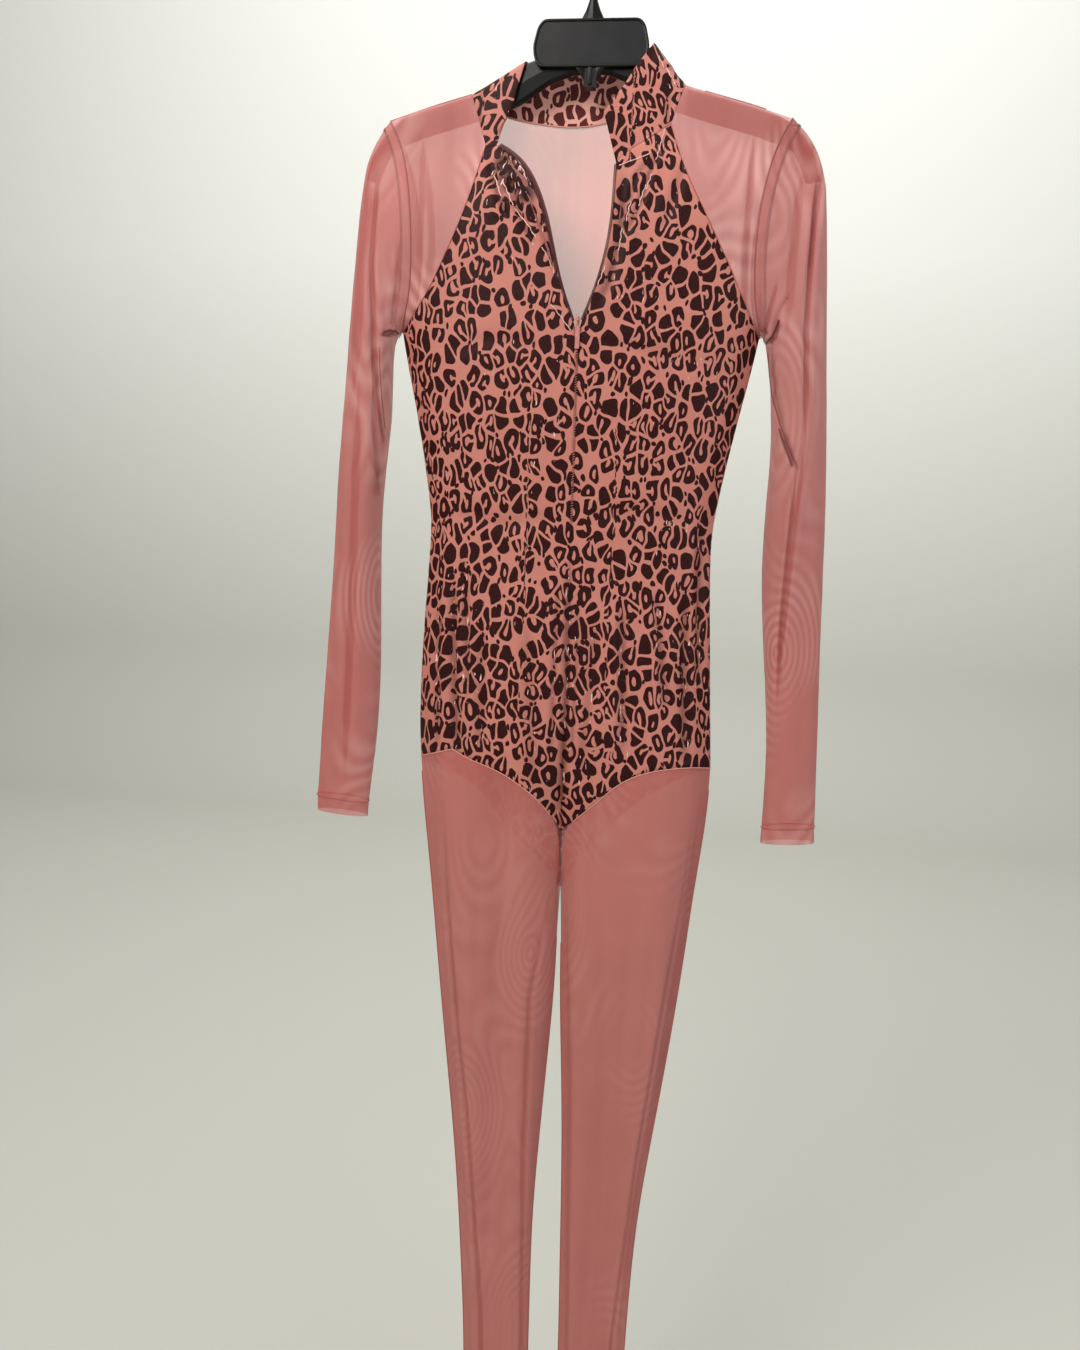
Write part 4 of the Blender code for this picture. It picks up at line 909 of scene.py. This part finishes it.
def tuck_layers(node, folds):
    """The doubled cloth inside a panel's darker folds, as one piece."""
    tree = surface(node)
    way = Vector((0, -1, 0)) if "back" in node else Vector((0, 1, 0))
    shape = bmesh.new()
    for points, width, _, darker in folds:
        if darker < TUCKED:
            continue
        places = []
        for (x0, z0), (x1, z1) in zip(points, points[1:]):
            steps = max(2, int(math.dist((x0, z0), (x1, z1)) / TUCK_STEP_MM))
            for k in range(steps):
                places.append((x0 + (x1 - x0) * k / steps, z0 + (z1 - z0) * k / steps))
        places.append(points[-1])
        for layer in range(2 if darker > TUCKED_TWICE else 1):
            join_rows(shape, tuck_rows(shape, tree, way, places, width, layer))
    if shape.faces:
        thin_piece(node + "_tucks", shape, shaded_tuck_mesh)
    else:
        shape.free()


for node in MESH:
    if node in FOLDS_MM:
        tuck_layers(node, FOLDS_MM[node])


# Seams
# The panels are joined with narrow overlocked seams. Their raw edges lie inside as a doubled strip,
# which shows through the sheer mesh as a darker band, and the overlock thread shows as a fine line.


def seam_line(node, neighbours, reach=0.6 * MM, keep=None):
    """The longest stretch of a panel's border that lies on its neighbours', or meets none."""
    places = [p for other in neighbours for loop in outlines[other] for p, _ in loop]
    finder = kdtree.KDTree(max(1, len(places)))
    for k, place in enumerate(places):
        finder.insert(place, k)
    finder.balance()
    best = []
    for loop in outlines[node]:
        near = []
        for place, _ in loop:
            found = finder.find(place)[2] if places else None
            near.append((not places or found < reach) and (keep is None or keep(place / MM)))
        if all(near):
            runs = [loop + loop[:1]]
        else:
            start = near.index(False)
            turned, flags = loop[start:] + loop[:start], near[start:] + near[:start]
            runs, run = [], []
            for point, flag in zip(turned + turned[:1], flags + [False]):
                if flag:
                    run.append(point)
                elif run:
                    runs.append(run)
                    run = []
        best = max([best, *runs], key=len)
    return best


def cord(name, lines, radius, material, corners=1):
    """Fine threads as one piece: each line is a list of places."""
    curve = bpy.data.curves.new(name, "CURVE")
    curve.dimensions = "3D"
    curve.bevel_depth = radius
    curve.bevel_resolution = corners
    curve.use_fill_caps = True
    for line in lines:
        spline = curve.splines.new("POLY")
        spline.points.add(len(line) - 1)
        for point, place in zip(spline.points, line):
            point.co = (*place, 1.0)
    curve.materials.append(material)
    thing = bpy.data.objects.new(name, curve)
    bpy.context.scene.collection.objects.link(thing)
    choose(thing)
    bpy.ops.object.convert(target="MESH")
    thing = bpy.context.view_layer.objects.active
    thing.data.shade_smooth()
    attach(thing, "garment")


def spun_thread(name, colour, dark, pitch_mm=1.4):
    """Texturised polyester thread: satin, its stitches drawn 1.4 mm apart so that they show."""
    material, shader = new_material(name, 0.5, Sheen_Weight=0.2, Specular_IOR_Level=0.4)
    add = partial(add_node, material)
    place = add("TexCoord").outputs["Object"]
    turns = {"Vector": place, "Scale": WAVE_FOR_MM / pitch_mm, "Distortion": 2.0}
    turns = add("TexWave", turns, bands_direction="DIAGONAL").outputs["Fac"]
    uneven = add("TexNoise", {"Vector": place, "Scale": 160.0})
    share = add("Math", [turns, uneven], operation="MULTIPLY")
    colours = {0: share, 6: linear(colour), 7: linear(dark)}
    bump = add("Bump", {"Height": turns, "Strength": 0.3, "Distance": 0.2 * MM})
    link(material, add("Mix", colours, data_type="RGBA").outputs[2], shader.inputs["Base Color"])
    link(material, bump, shader.inputs["Normal"])
    return material


pale_thread = spun_thread("overlock_thread_pale", "#DE9A8E", "#C27C72")
rose_thread = spun_thread("overlock_thread_rose", "#B5625B", "#9C4E49")
shade_thread = spun_thread("overlock_thread_shaded", "#9C524C", "#84403C")
# painted shade: a dark colour for the cords along the rolled sleeve lips
lip_shade = spun_thread("rolled_mesh_lip_painted_shade", "#743430", "#5A2523")


def seam_thread(name, node, neighbours, radius_mm, material, lift_mm=0.3, keep=None):
    """The overlock thread on a seam, which stands a little off the cloth."""
    line = seam_line(node, neighbours, keep=keep)
    line = [place + normal * lift_mm * MM for place, normal in line]
    cord(name, [line], radius_mm * MM, material)


def across_panel(node, line, width, steps):
    """Rows of places that start on a seam and run over the panel's surface, with their normals."""
    tree = surface(node)
    votes = 0
    ways = []
    for k, (place, _) in enumerate(line):
        ahead = line[min(k + 2, len(line) - 1)][0] - line[max(k - 2, 0)][0]
        _, normal, _, _ = tree.find_nearest(place)
        way = ahead.cross(normal).normalized()
        ways.append((way, normal))
        plus, minus = [(tree.find_nearest(place + way * s)[0] - place - way * s).length
                       for s in (4 * MM, -4 * MM)]
        votes += 1 if plus < minus else -1
    sign = 1 if votes > 0 else -1
    rows = []
    for (place, _), (way, normal) in zip(line, ways):
        row = [(place, normal)]
        for _ in range(steps):
            probe = row[-1][0] + way * sign * width / steps
            found, normal, _, _ = tree.find_nearest(probe)
            row.append((found, normal))
            moved = found - row[-2][0]
            if moved.length > 1e-6:
                way = moved.normalized() * sign
        rows.append(row)
    return rows


ALLOWANCE_STEPS = 4
SERGING_RADIUS_MM = 0.25


def allowance(
    name, node, neighbours, width_mm, material, keep=None, inset_mm=0.7, serging=pale_thread
):
    """The doubled edge inside a seam, and the serging that binds its raw edge."""
    line = seam_line(node, neighbours, keep=keep)
    rows = across_panel(node, line, width_mm * MM, ALLOWANCE_STEPS)
    shape = bmesh.new()
    join_rows(shape, [[shape.verts.new(p - n * inset_mm * MM) for p, n in row] for row in rows])
    thin_piece(name, shape, material)
    edge = []
    for k, row in enumerate(rows):
        place, normal = row[ALLOWANCE_STEPS if k % 2 else ALLOWANCE_STEPS - 1]
        edge.append(place - normal * (inset_mm - SERGING_RADIUS_MM) * MM)
    cord(name + "_serging", [edge], SERGING_RADIUS_MM * MM, serging, 0)


for side in ("left", "right"):
    seam_thread("brief_seam_" + side, "leg_front_" + side, ["front_" + side], 0.5, pale_thread)
for side in ("left", "right"):
    seam_thread("brief_seam_back_" + side, "leg_back_" + side, ["back_print"], 0.5, pale_thread)
for side in ("left", "right"):
    seam_thread("raglan_seam_" + side, "yoke_front_" + side, ["front_" + side], 0.4, rose_thread)
seam_thread("yoke_seam_back", "back_yoke", ["back_print"], 0.5, pale_thread)
seam_thread("neck_seam_back", "back_yoke", ["collar"], 0.9, pale_thread, lift_mm=-0.6)
for side in ("left", "right"):
    outside = -1 if side == "left" else 1
    yoke, sleeve, cuff = "yoke_front_" + side, "sleeve_" + side, "cuff_" + side
    front, rear = "leg_front_" + side, "leg_back_" + side
    seam_thread("shoulder_seam_" + side, yoke, ["back_yoke"], 0.4, rose_thread)
    armhole = [yoke, "back_yoke"]
    seam_thread("armhole_seam_" + side, sleeve, armhole, 0.6, shade_thread)
    seam_thread("cuff_ridge_" + side, sleeve, [cuff], 0.8, mesh_sleeve, 0.2)
    allowance(
        "armhole_allowance_" + side, sleeve, armhole, 10.0, mesh_band, None, -0.35, shade_thread
    )
    allowance("shoulder_allowance_" + side, yoke, ["back_yoke"], 7.0, mesh_edge)
    allowance("brief_allowance_" + side, front, ["front_" + side], 6.0, mesh_edge)

    def outer_side(p, outside=outside):
        return p.x * outside > 60 and p.z < -760 or p.x * outside > 42 and p.z < -1180

    def inner_side(p, outside=outside):
        return not outer_side(p)

    seam_thread("leg_side_seam_" + side, front, [rear], 0.45, rose_thread, keep=outer_side)
    seam_thread("leg_inseam_" + side, front, [rear], 0.4, rose_thread, keep=inner_side)
    allowance("leg_side_allowance_" + side, front, [rear], 13.0, mesh_edge, outer_side)
    allowance("leg_inseam_allowance_" + side, front, [rear], 8.0, mesh_edge, inner_side)


# Underarm lips
# Below each armhole the sleeve is rolled on itself. The roll's shade is painted as dark cords: a
# thicker lip where it starts, and thinner lines down the folded flap below it.

LIPS_MM = {
    "sleeve_left": [([(-180, -346), (-176, -343.5), (-172, -343), (-168, -346)], 1.1),
                    ([(-183, -360), (-182, -389), (-180, -416), (-179, -436)], 0.3)],
    "sleeve_right": [([(162, -349), (169, -347), (173, -343), (176, -335), (178, -329)], 1.1),
                     ([(171, -356), (174, -375), (178, -398),
                       (185, -421), (194, -443), (201, -457)], 0.5),
                     ([(184, -424), (191, -443), (198, -460)], 0.9)],
}


def on_front(tree, points, lift_mm, wobble_mm=0.0):
    """Places along a line on the front of a panel, six to a stretch, lifted off the cloth."""
    places = []
    for (x0, z0), (x1, z1) in zip(points, points[1:]):
        for k in range(6):
            x, z = x0 + (x1 - x0) * k / 6, z0 + (z1 - z0) * k / 6
            x += wobble_mm * math.sin(0.9 * z)
            place, normal, _, _ = tree.ray_cast(Vector((x, -200, z)) * MM, Vector((0, 1, 0)))
            if place is not None:
                places.append(place + normal * lift_mm * MM)
    return places


for node, lips in LIPS_MM.items():
    tree = surface(node)
    for number, (points, radius) in enumerate(lips):
        lip = on_front(tree, points, 0.2)
        if len(lip) > 3:
            cord(f"{node}_lip_{number + 1}", [lip], radius * MM, lip_shade)


# Fork
# Where the two inseams meet at the fork, the serged ends of the seams hang down between the legs as
# a narrow doubled strip with a small turned end. The strip's dark mesh also paints the shadow in the
# gap between the legs.

FORK_TOP_MM = [(-1.6, -808), (2.6, -806)]
FORK_END_MM = [(-0.6, -864), (3.4, -862)]
FORK_LAYERS_MM = (-6.0, -3.0)
FORK_HEM_MM = [(-0.8, -5.0, -863.5), (1.4, -5.6, -864.6), (3.6, -5.0, -862.5)]

fork = bmesh.new()
for layer, depth in enumerate(FORK_LAYERS_MM):
    rows = []
    for t in [k / 12 for k in range(13)]:
        wave = 0.5 * math.sin(9 * t + layer)
        row = []
        for (x0, z0), (x1, z1) in zip(FORK_TOP_MM, FORK_END_MM):
            place = Vector((x0 + (x1 - x0) * t + wave, depth + wave, z0 + (z1 - z0) * t))
            row.append(fork.verts.new(place * MM))
        rows.append(row)
    join_rows(fork, rows)
thin_piece("fork_seam_ends_and_shadow", fork, shaded_tuck_mesh, smooth=False)
hem = [Vector(place) * MM for place in FORK_HEM_MM]
cord("fork_seam_hem", [hem], 0.9 * MM, shade_thread)


# Foil creases
# Sharp creases in the foiled knit catch the light as thin bright lines down the zip edges, across
# the chest and along the collar. Each is a fine ridge that lies on the knit, its pale pink a painted
# highlight.

CREASES_MM = {
    "front_left": [
        [(-80, -210), (-76, -220), (-72, -231)],
        [(-73, -214), (-66, -228), (-61, -239)],
        [(-60, -240), (-47, -254), (-38, -268)],
        [(-34, -273), (-27, -285), (-21, -297)],
        [(-24, -322), (-16, -331), (-9, -340), (-4, -345)],
        [(-60, -196), (-54, -206), (-50, -216)],
    ],
    "front_right": [
        [(69, -168), (66, -182), (62, -200)],
        [(57, -192), (48, -197), (38, -200), (30, -204)],
        [(55, -219), (52, -228), (49, -239)],
        [(43, -234), (41, -243), (39, -252)],
        [(36, -256), (35, -268), (34, -277)],
        [(23, -288), (20, -297), (16, -307)],
        [(60, -210), (57, -218), (55, -224)],
    ],
    "collar": [[(67, -114), (72, -122), (78, -131)], [(60, -104), (63, -110), (66, -115)]],
}
# painted highlight: the pale pink of the crease ridges
crease_highlight_paint, foil_shader = new_material("foil_crease_painted_highlight", 0.25, Metallic=0.15)
place = add_node(crease_highlight_paint, "TexCoord").outputs["Object"]
cracks = add_node(crease_highlight_paint, "TexNoise", {"Vector": place, "Scale": 500.0, "Detail": 2.0})
colours = {0: cracks, 6: linear("#FFE0D8"), 7: linear("#DB9D92")}
crease_highlight_colour = add_node(crease_highlight_paint, "Mix", colours, data_type="RGBA").outputs[2]
link(crease_highlight_paint, crease_highlight_colour, foil_shader.inputs["Base Color"])
for node, lines in CREASES_MM.items():
    tree = surface(node)
    ridges = [on_front(tree, points, 0.35, wobble_mm=0.5) for points in lines]
    ridges = [ridge for ridge in ridges if len(ridge) > 3]
    cord(node + "_foil_crease_highlights", ridges, 0.5 * MM, crease_highlight_paint, 0)


# Zip
# A long invisible coil zip: a woven tape behind each front edge, nylon coils along the edges,
# closed below the slider. The slider is die-cast and enamelled rose, like the pull on its bail.

COIL_RADIUS = 1.2 * MM
COIL_PITCH = 1.6 * MM
COIL_WIRE = 0.42 * MM
CLOSED_COIL_RADIUS = 0.8 * MM
CLOSED_COIL_PITCH = 2.2 * MM
CLOSED_SPAN_MM = (-515, -342)
TURNS = 8  # points in one turn of a coil
SLIDER_MM = -336  # the edges are free above this height
TAPE_RIB_MM = 1.2  # drawn coarser than the real 0.5 mm, so that the ribs show


def nylon(name, colour, dark):
    """Extruded nylon monofilament, dyed: smooth and glossy, so that each turn has a highlight."""
    material, shader = new_material(name, 0.28, IOR=1.53)
    add = partial(add_node, material)
    place = add("TexCoord").outputs["Object"]
    uneven = add("TexNoise", {"Vector": place, "Scale": 120.0, "Detail": 2.0})
    colours = {0: uneven, 6: linear(colour), 7: linear(dark)}
    link(material, add("Mix", colours, data_type="RGBA").outputs[2], shader.inputs["Base Color"])
    return material


def woven_tape(name, colour, dark):
    """Polyester twill tape: matt, with diagonal ribs."""
    material, shader = new_material(name, 0.75, Sheen_Weight=0.1)
    add = partial(add_node, material)
    place = add("TexCoord").outputs["Object"]
    ribs = {"Vector": place, "Scale": WAVE_FOR_MM / TAPE_RIB_MM, "Distortion": 0.4}
    ribs = add("TexWave", ribs, bands_direction="DIAGONAL").outputs["Fac"]
    colours = {0: ribs, 6: linear(colour), 7: linear(dark)}
    bump = add("Bump", {"Height": ribs, "Strength": 0.4, "Distance": 0.3 * MM})
    link(material, add("Mix", colours, data_type="RGBA").outputs[2], shader.inputs["Base Color"])
    link(material, bump, shader.inputs["Normal"])
    return material


def enamelled_zinc(name, colour, worn_colour):
    """Die-cast zinc under rose enamel: glossy, the metal showing faintly where it is rubbed."""
    material, shader = new_material(name, 0.3, Metallic=0.35)
    add = partial(add_node, material)
    place = add("TexCoord").outputs["Object"]
    rubbed = add("TexNoise", {"Vector": place, "Scale": 420.0, "Detail": 4.0})
    share = add("MapRange", {"Value": rubbed, "From Min": 0.5, "From Max": 0.72})
    colours = {0: share, 6: linear(colour), 7: linear(worn_colour)}
    bump = add("Bump", {"Height": rubbed, "Strength": 0.1, "Distance": 0.1 * MM})
    link(material, add("Mix", colours, data_type="RGBA").outputs[2], shader.inputs["Base Color"])
    link(material, bump, shader.inputs["Normal"])
    return material


maroon_coil = nylon("nylon_coil_maroon", "#6A2E30", "#441A1C")
# the closed coil's pale rose is partly a painted highlight, so that its turns read as bright glints
rose_highlight_coil = nylon("nylon_coil_rose_highlight", "#D08A7E", "#8E4A45")
rose_tape = woven_tape("woven_zip_tape", "#A5625A", "#7E4540")
enamel = enamelled_zinc("enamelled_zinc_rose", "#C98378", "#D9A79C")
dress_node("zip_tape_left", rose_tape)
dress_node("zip_tape_right", rose_tape)
dress_node("zip_chain", rose_highlight_coil)
dress_node("zip_slider", enamel)
dress_node("zip_pull", enamel)


def coil(name, line, radius, pitch, material):
    """A nylon coil: a wire wound along an edge."""
    lengths = [0.0]
    for a, b in zip(line, line[1:]):
        lengths.append(lengths[-1] + (b - a).length)
    turns = []
    steps = int(lengths[-1] / pitch * TURNS)
    for k in range(steps):
        at = lengths[-1] * k / steps
        seg = max(j for j in range(len(line) - 1) if lengths[j] <= at + 1e-9)
        t = (at - lengths[seg]) / max(1e-9, lengths[seg + 1] - lengths[seg])
        middle = line[seg].lerp(line[seg + 1], t)
        along = (line[seg + 1] - line[seg]).normalized()
        one = along.cross(Vector((0, 1, 0))).normalized()
        two = along.cross(one)
        angle = 2 * math.pi * k / TURNS
        turns.append(middle + one * math.cos(angle) * radius + two * math.sin(angle) * radius)
    cord(name, [turns], COIL_WIRE, material, 0)


def is_free(node, point_mm):
    """Whether a point of a panel's border lies on no other panel's border."""
    others = [loop for other in panels if other != node for loop in outlines[other]]
    return all((p / MM - point_mm).length > 1.5 for loop in others for p, _ in loop)


def v_edge(node):
    """The free front edge above the slider, from the collar down, thinned to about 60 places."""
    line = seam_line(node, [], keep=lambda p: p.z > SLIDER_MM and is_free(node, p))
    line = [place for place, _ in line]
    line = line if line[0].z > line[-1].z else line[::-1]
    step = max(1, len(line) // 60)
    return [p + Vector((0, 0.4 * MM, 0)) for p in line[::step] + line[-1:]]


left_edge = v_edge("front_left")
coil("zip_coil_left", left_edge, COIL_RADIUS, COIL_PITCH, maroon_coil)

# the tape on the left is turned out, so it shows as a dark band that narrows towards the slider
BAND_WIDTH_MM = 3.6
BAND_NARROWS_BELOW = -0.25
band = bmesh.new()
rows = []
for k, place in enumerate(left_edge):
    ahead = left_edge[min(k + 1, len(left_edge) - 1)] - left_edge[max(k - 1, 0)]
    out = ahead.cross(Vector((0, 1, 0))).normalized()
    out = out if out.x > 0 else -out
    wide = (BAND_WIDTH_MM - 30 * max(0.0, BAND_NARROWS_BELOW - place.z)) * MM
    behind = Vector((0, 0.5 * MM, 0))
    rows.append([band.verts.new(place + out * s * wide + behind) for s in (-0.5, 0.3, 1)])
join_rows(band, rows)
maroon_tape = woven_tape("woven_zip_tape_maroon", "#6E3335", "#4E2022")
thin_piece("zip_tape_turned_out", band, maroon_tape, smooth=False)

coil("zip_coil_right", v_edge("front_right"), COIL_RADIUS, COIL_PITCH, maroon_coil)

closed = [place for place, _ in seam_line("front_left", ["front_right"], reach=2.5 * MM)]
low, high = CLOSED_SPAN_MM
closed = [p + Vector((0, -0.1 * MM, 0)) for p in closed if low < p.z / MM < high]
closed.sort(key=lambda p: -p.z)
coil("zip_coil_closed", closed[::2], CLOSED_COIL_RADIUS, CLOSED_COIL_PITCH, rose_highlight_coil)


# Studio
# A pale sweep behind and below, soft light from large panels, and the camera where the photo was
# taken from.

FLOOR_Z, FLOOR_FRONT, FLOOR_BACK = -1.66, -3.4, 3.2
WALL_TOP, SWEEP_RADIUS, HALF_WIDTH = 3.0, 0.6, 4.5

# matt painted card, with painted shade that makes it a little greyer towards the floor
backdrop_paint, backdrop_shader = new_material("matt_backdrop", 0.9)
add = partial(add_node, backdrop_paint)
height = add("SeparateXYZ", [add("TexCoord").outputs["Object"]]).outputs["Z"]
painted_falloff = add("MapRange", {"Value": height, "From Min": -1.9, "From Max": 0.7})
colours = {0: painted_falloff, 6: linear("#BEBEB5"), 7: linear("#F0F0EA")}
card = add("Mix", colours, data_type="RGBA").outputs[2]
link(backdrop_paint, card, backdrop_shader.inputs["Base Color"])

profile = [(FLOOR_FRONT, FLOOR_Z), (FLOOR_BACK, FLOOR_Z)]
for a in np.linspace(0.1, math.pi / 2, 10):
    away, up = SWEEP_RADIUS * math.sin(a), SWEEP_RADIUS - SWEEP_RADIUS * math.cos(a)
    profile.append((FLOOR_BACK + away, FLOOR_Z + up))
profile.append((FLOOR_BACK + SWEEP_RADIUS, WALL_TOP))
sweep = bmesh.new()
rows = [[sweep.verts.new((x, y, z)) for x in (-HALF_WIDTH, HALF_WIDTH)] for y, z in profile]
for upper, lower in zip(rows, rows[1:]):
    sweep.faces.new((upper[0], upper[1], lower[1], lower[0]))
sweep_mesh = bpy.data.meshes.new("backdrop")
sweep.to_mesh(sweep_mesh)
sweep.free()
sweep_mesh.shade_smooth()
sweep_mesh.materials.append(backdrop_paint)
backdrop = bpy.data.objects.new("backdrop", sweep_mesh)
bpy.context.scene.collection.objects.link(backdrop)


def area_light(name, place, target, size, power, colour="#FFFFFF"):
    """A round soft panel of light, in metres and watts, that points at its target."""
    lamp = bpy.data.lights.new(name, "AREA")
    lamp.shape = "DISK"
    lamp.size = size
    lamp.energy = power
    lamp.color = linear(colour)[:3]
    thing = bpy.data.objects.new(name, lamp)
    bpy.context.scene.collection.objects.link(thing)
    thing.location = place
    thing.rotation_euler = (Vector(target) - Vector(place)).to_track_quat("-Z", "Y").to_euler()


area_light("key", (-0.9, -1.6, 0.8), (0, 0, -0.2), 1.3, 36.0, "#FFFAF4")
area_light("fill", (1.5, -1.5, -0.1), (0, 0, -0.4), 1.5, 11.0, "#F6F8FF")
area_light("backdrop_light", (0.0, 1.3, 2.6), (0, 3.8, -0.3), 5.0, 125.0)
world = bpy.data.worlds.new("studio")
bpy.context.scene.world = world
world.use_nodes = True
world.node_tree.nodes["Background"].inputs["Color"].default_value = linear("#F2F3F0")
world.node_tree.nodes["Background"].inputs["Strength"].default_value = 0.38
bpy.context.scene.view_settings.view_transform = "Standard"

# the camera's place, its turn and its focal length are fitted to the photo
EYE_MM = (91.9, -1024.9, -529.1)
AZIMUTH, PITCH, ROLL = math.radians(6.5), math.radians(7.2), math.radians(2.2)
FOCAL_PIXELS, PHOTO_HEIGHT = 1082.0, 1350
back = Vector(
    (math.sin(AZIMUTH) * math.cos(PITCH), -math.cos(AZIMUTH) * math.cos(PITCH), math.sin(PITCH))
)
right = Vector((math.cos(AZIMUTH), math.sin(AZIMUTH), 0.0))
up = back.cross(right)
right, up = (
    right * math.cos(ROLL) + up * math.sin(ROLL),
    up * math.cos(ROLL) - right * math.sin(ROLL),
)
camera_data = bpy.data.cameras.new("camera")
camera_data.sensor_fit = "VERTICAL"
camera_data.sensor_height = 36.0
camera_data.lens = FOCAL_PIXELS / PHOTO_HEIGHT * camera_data.sensor_height
camera = bpy.data.objects.new("camera", camera_data)
bpy.context.scene.collection.objects.link(camera)
turned = Matrix((right, up, back)).transposed().to_4x4()
camera.matrix_world = Matrix.Translation(Vector(EYE_MM) * MM) @ turned
bpy.context.scene.camera = camera
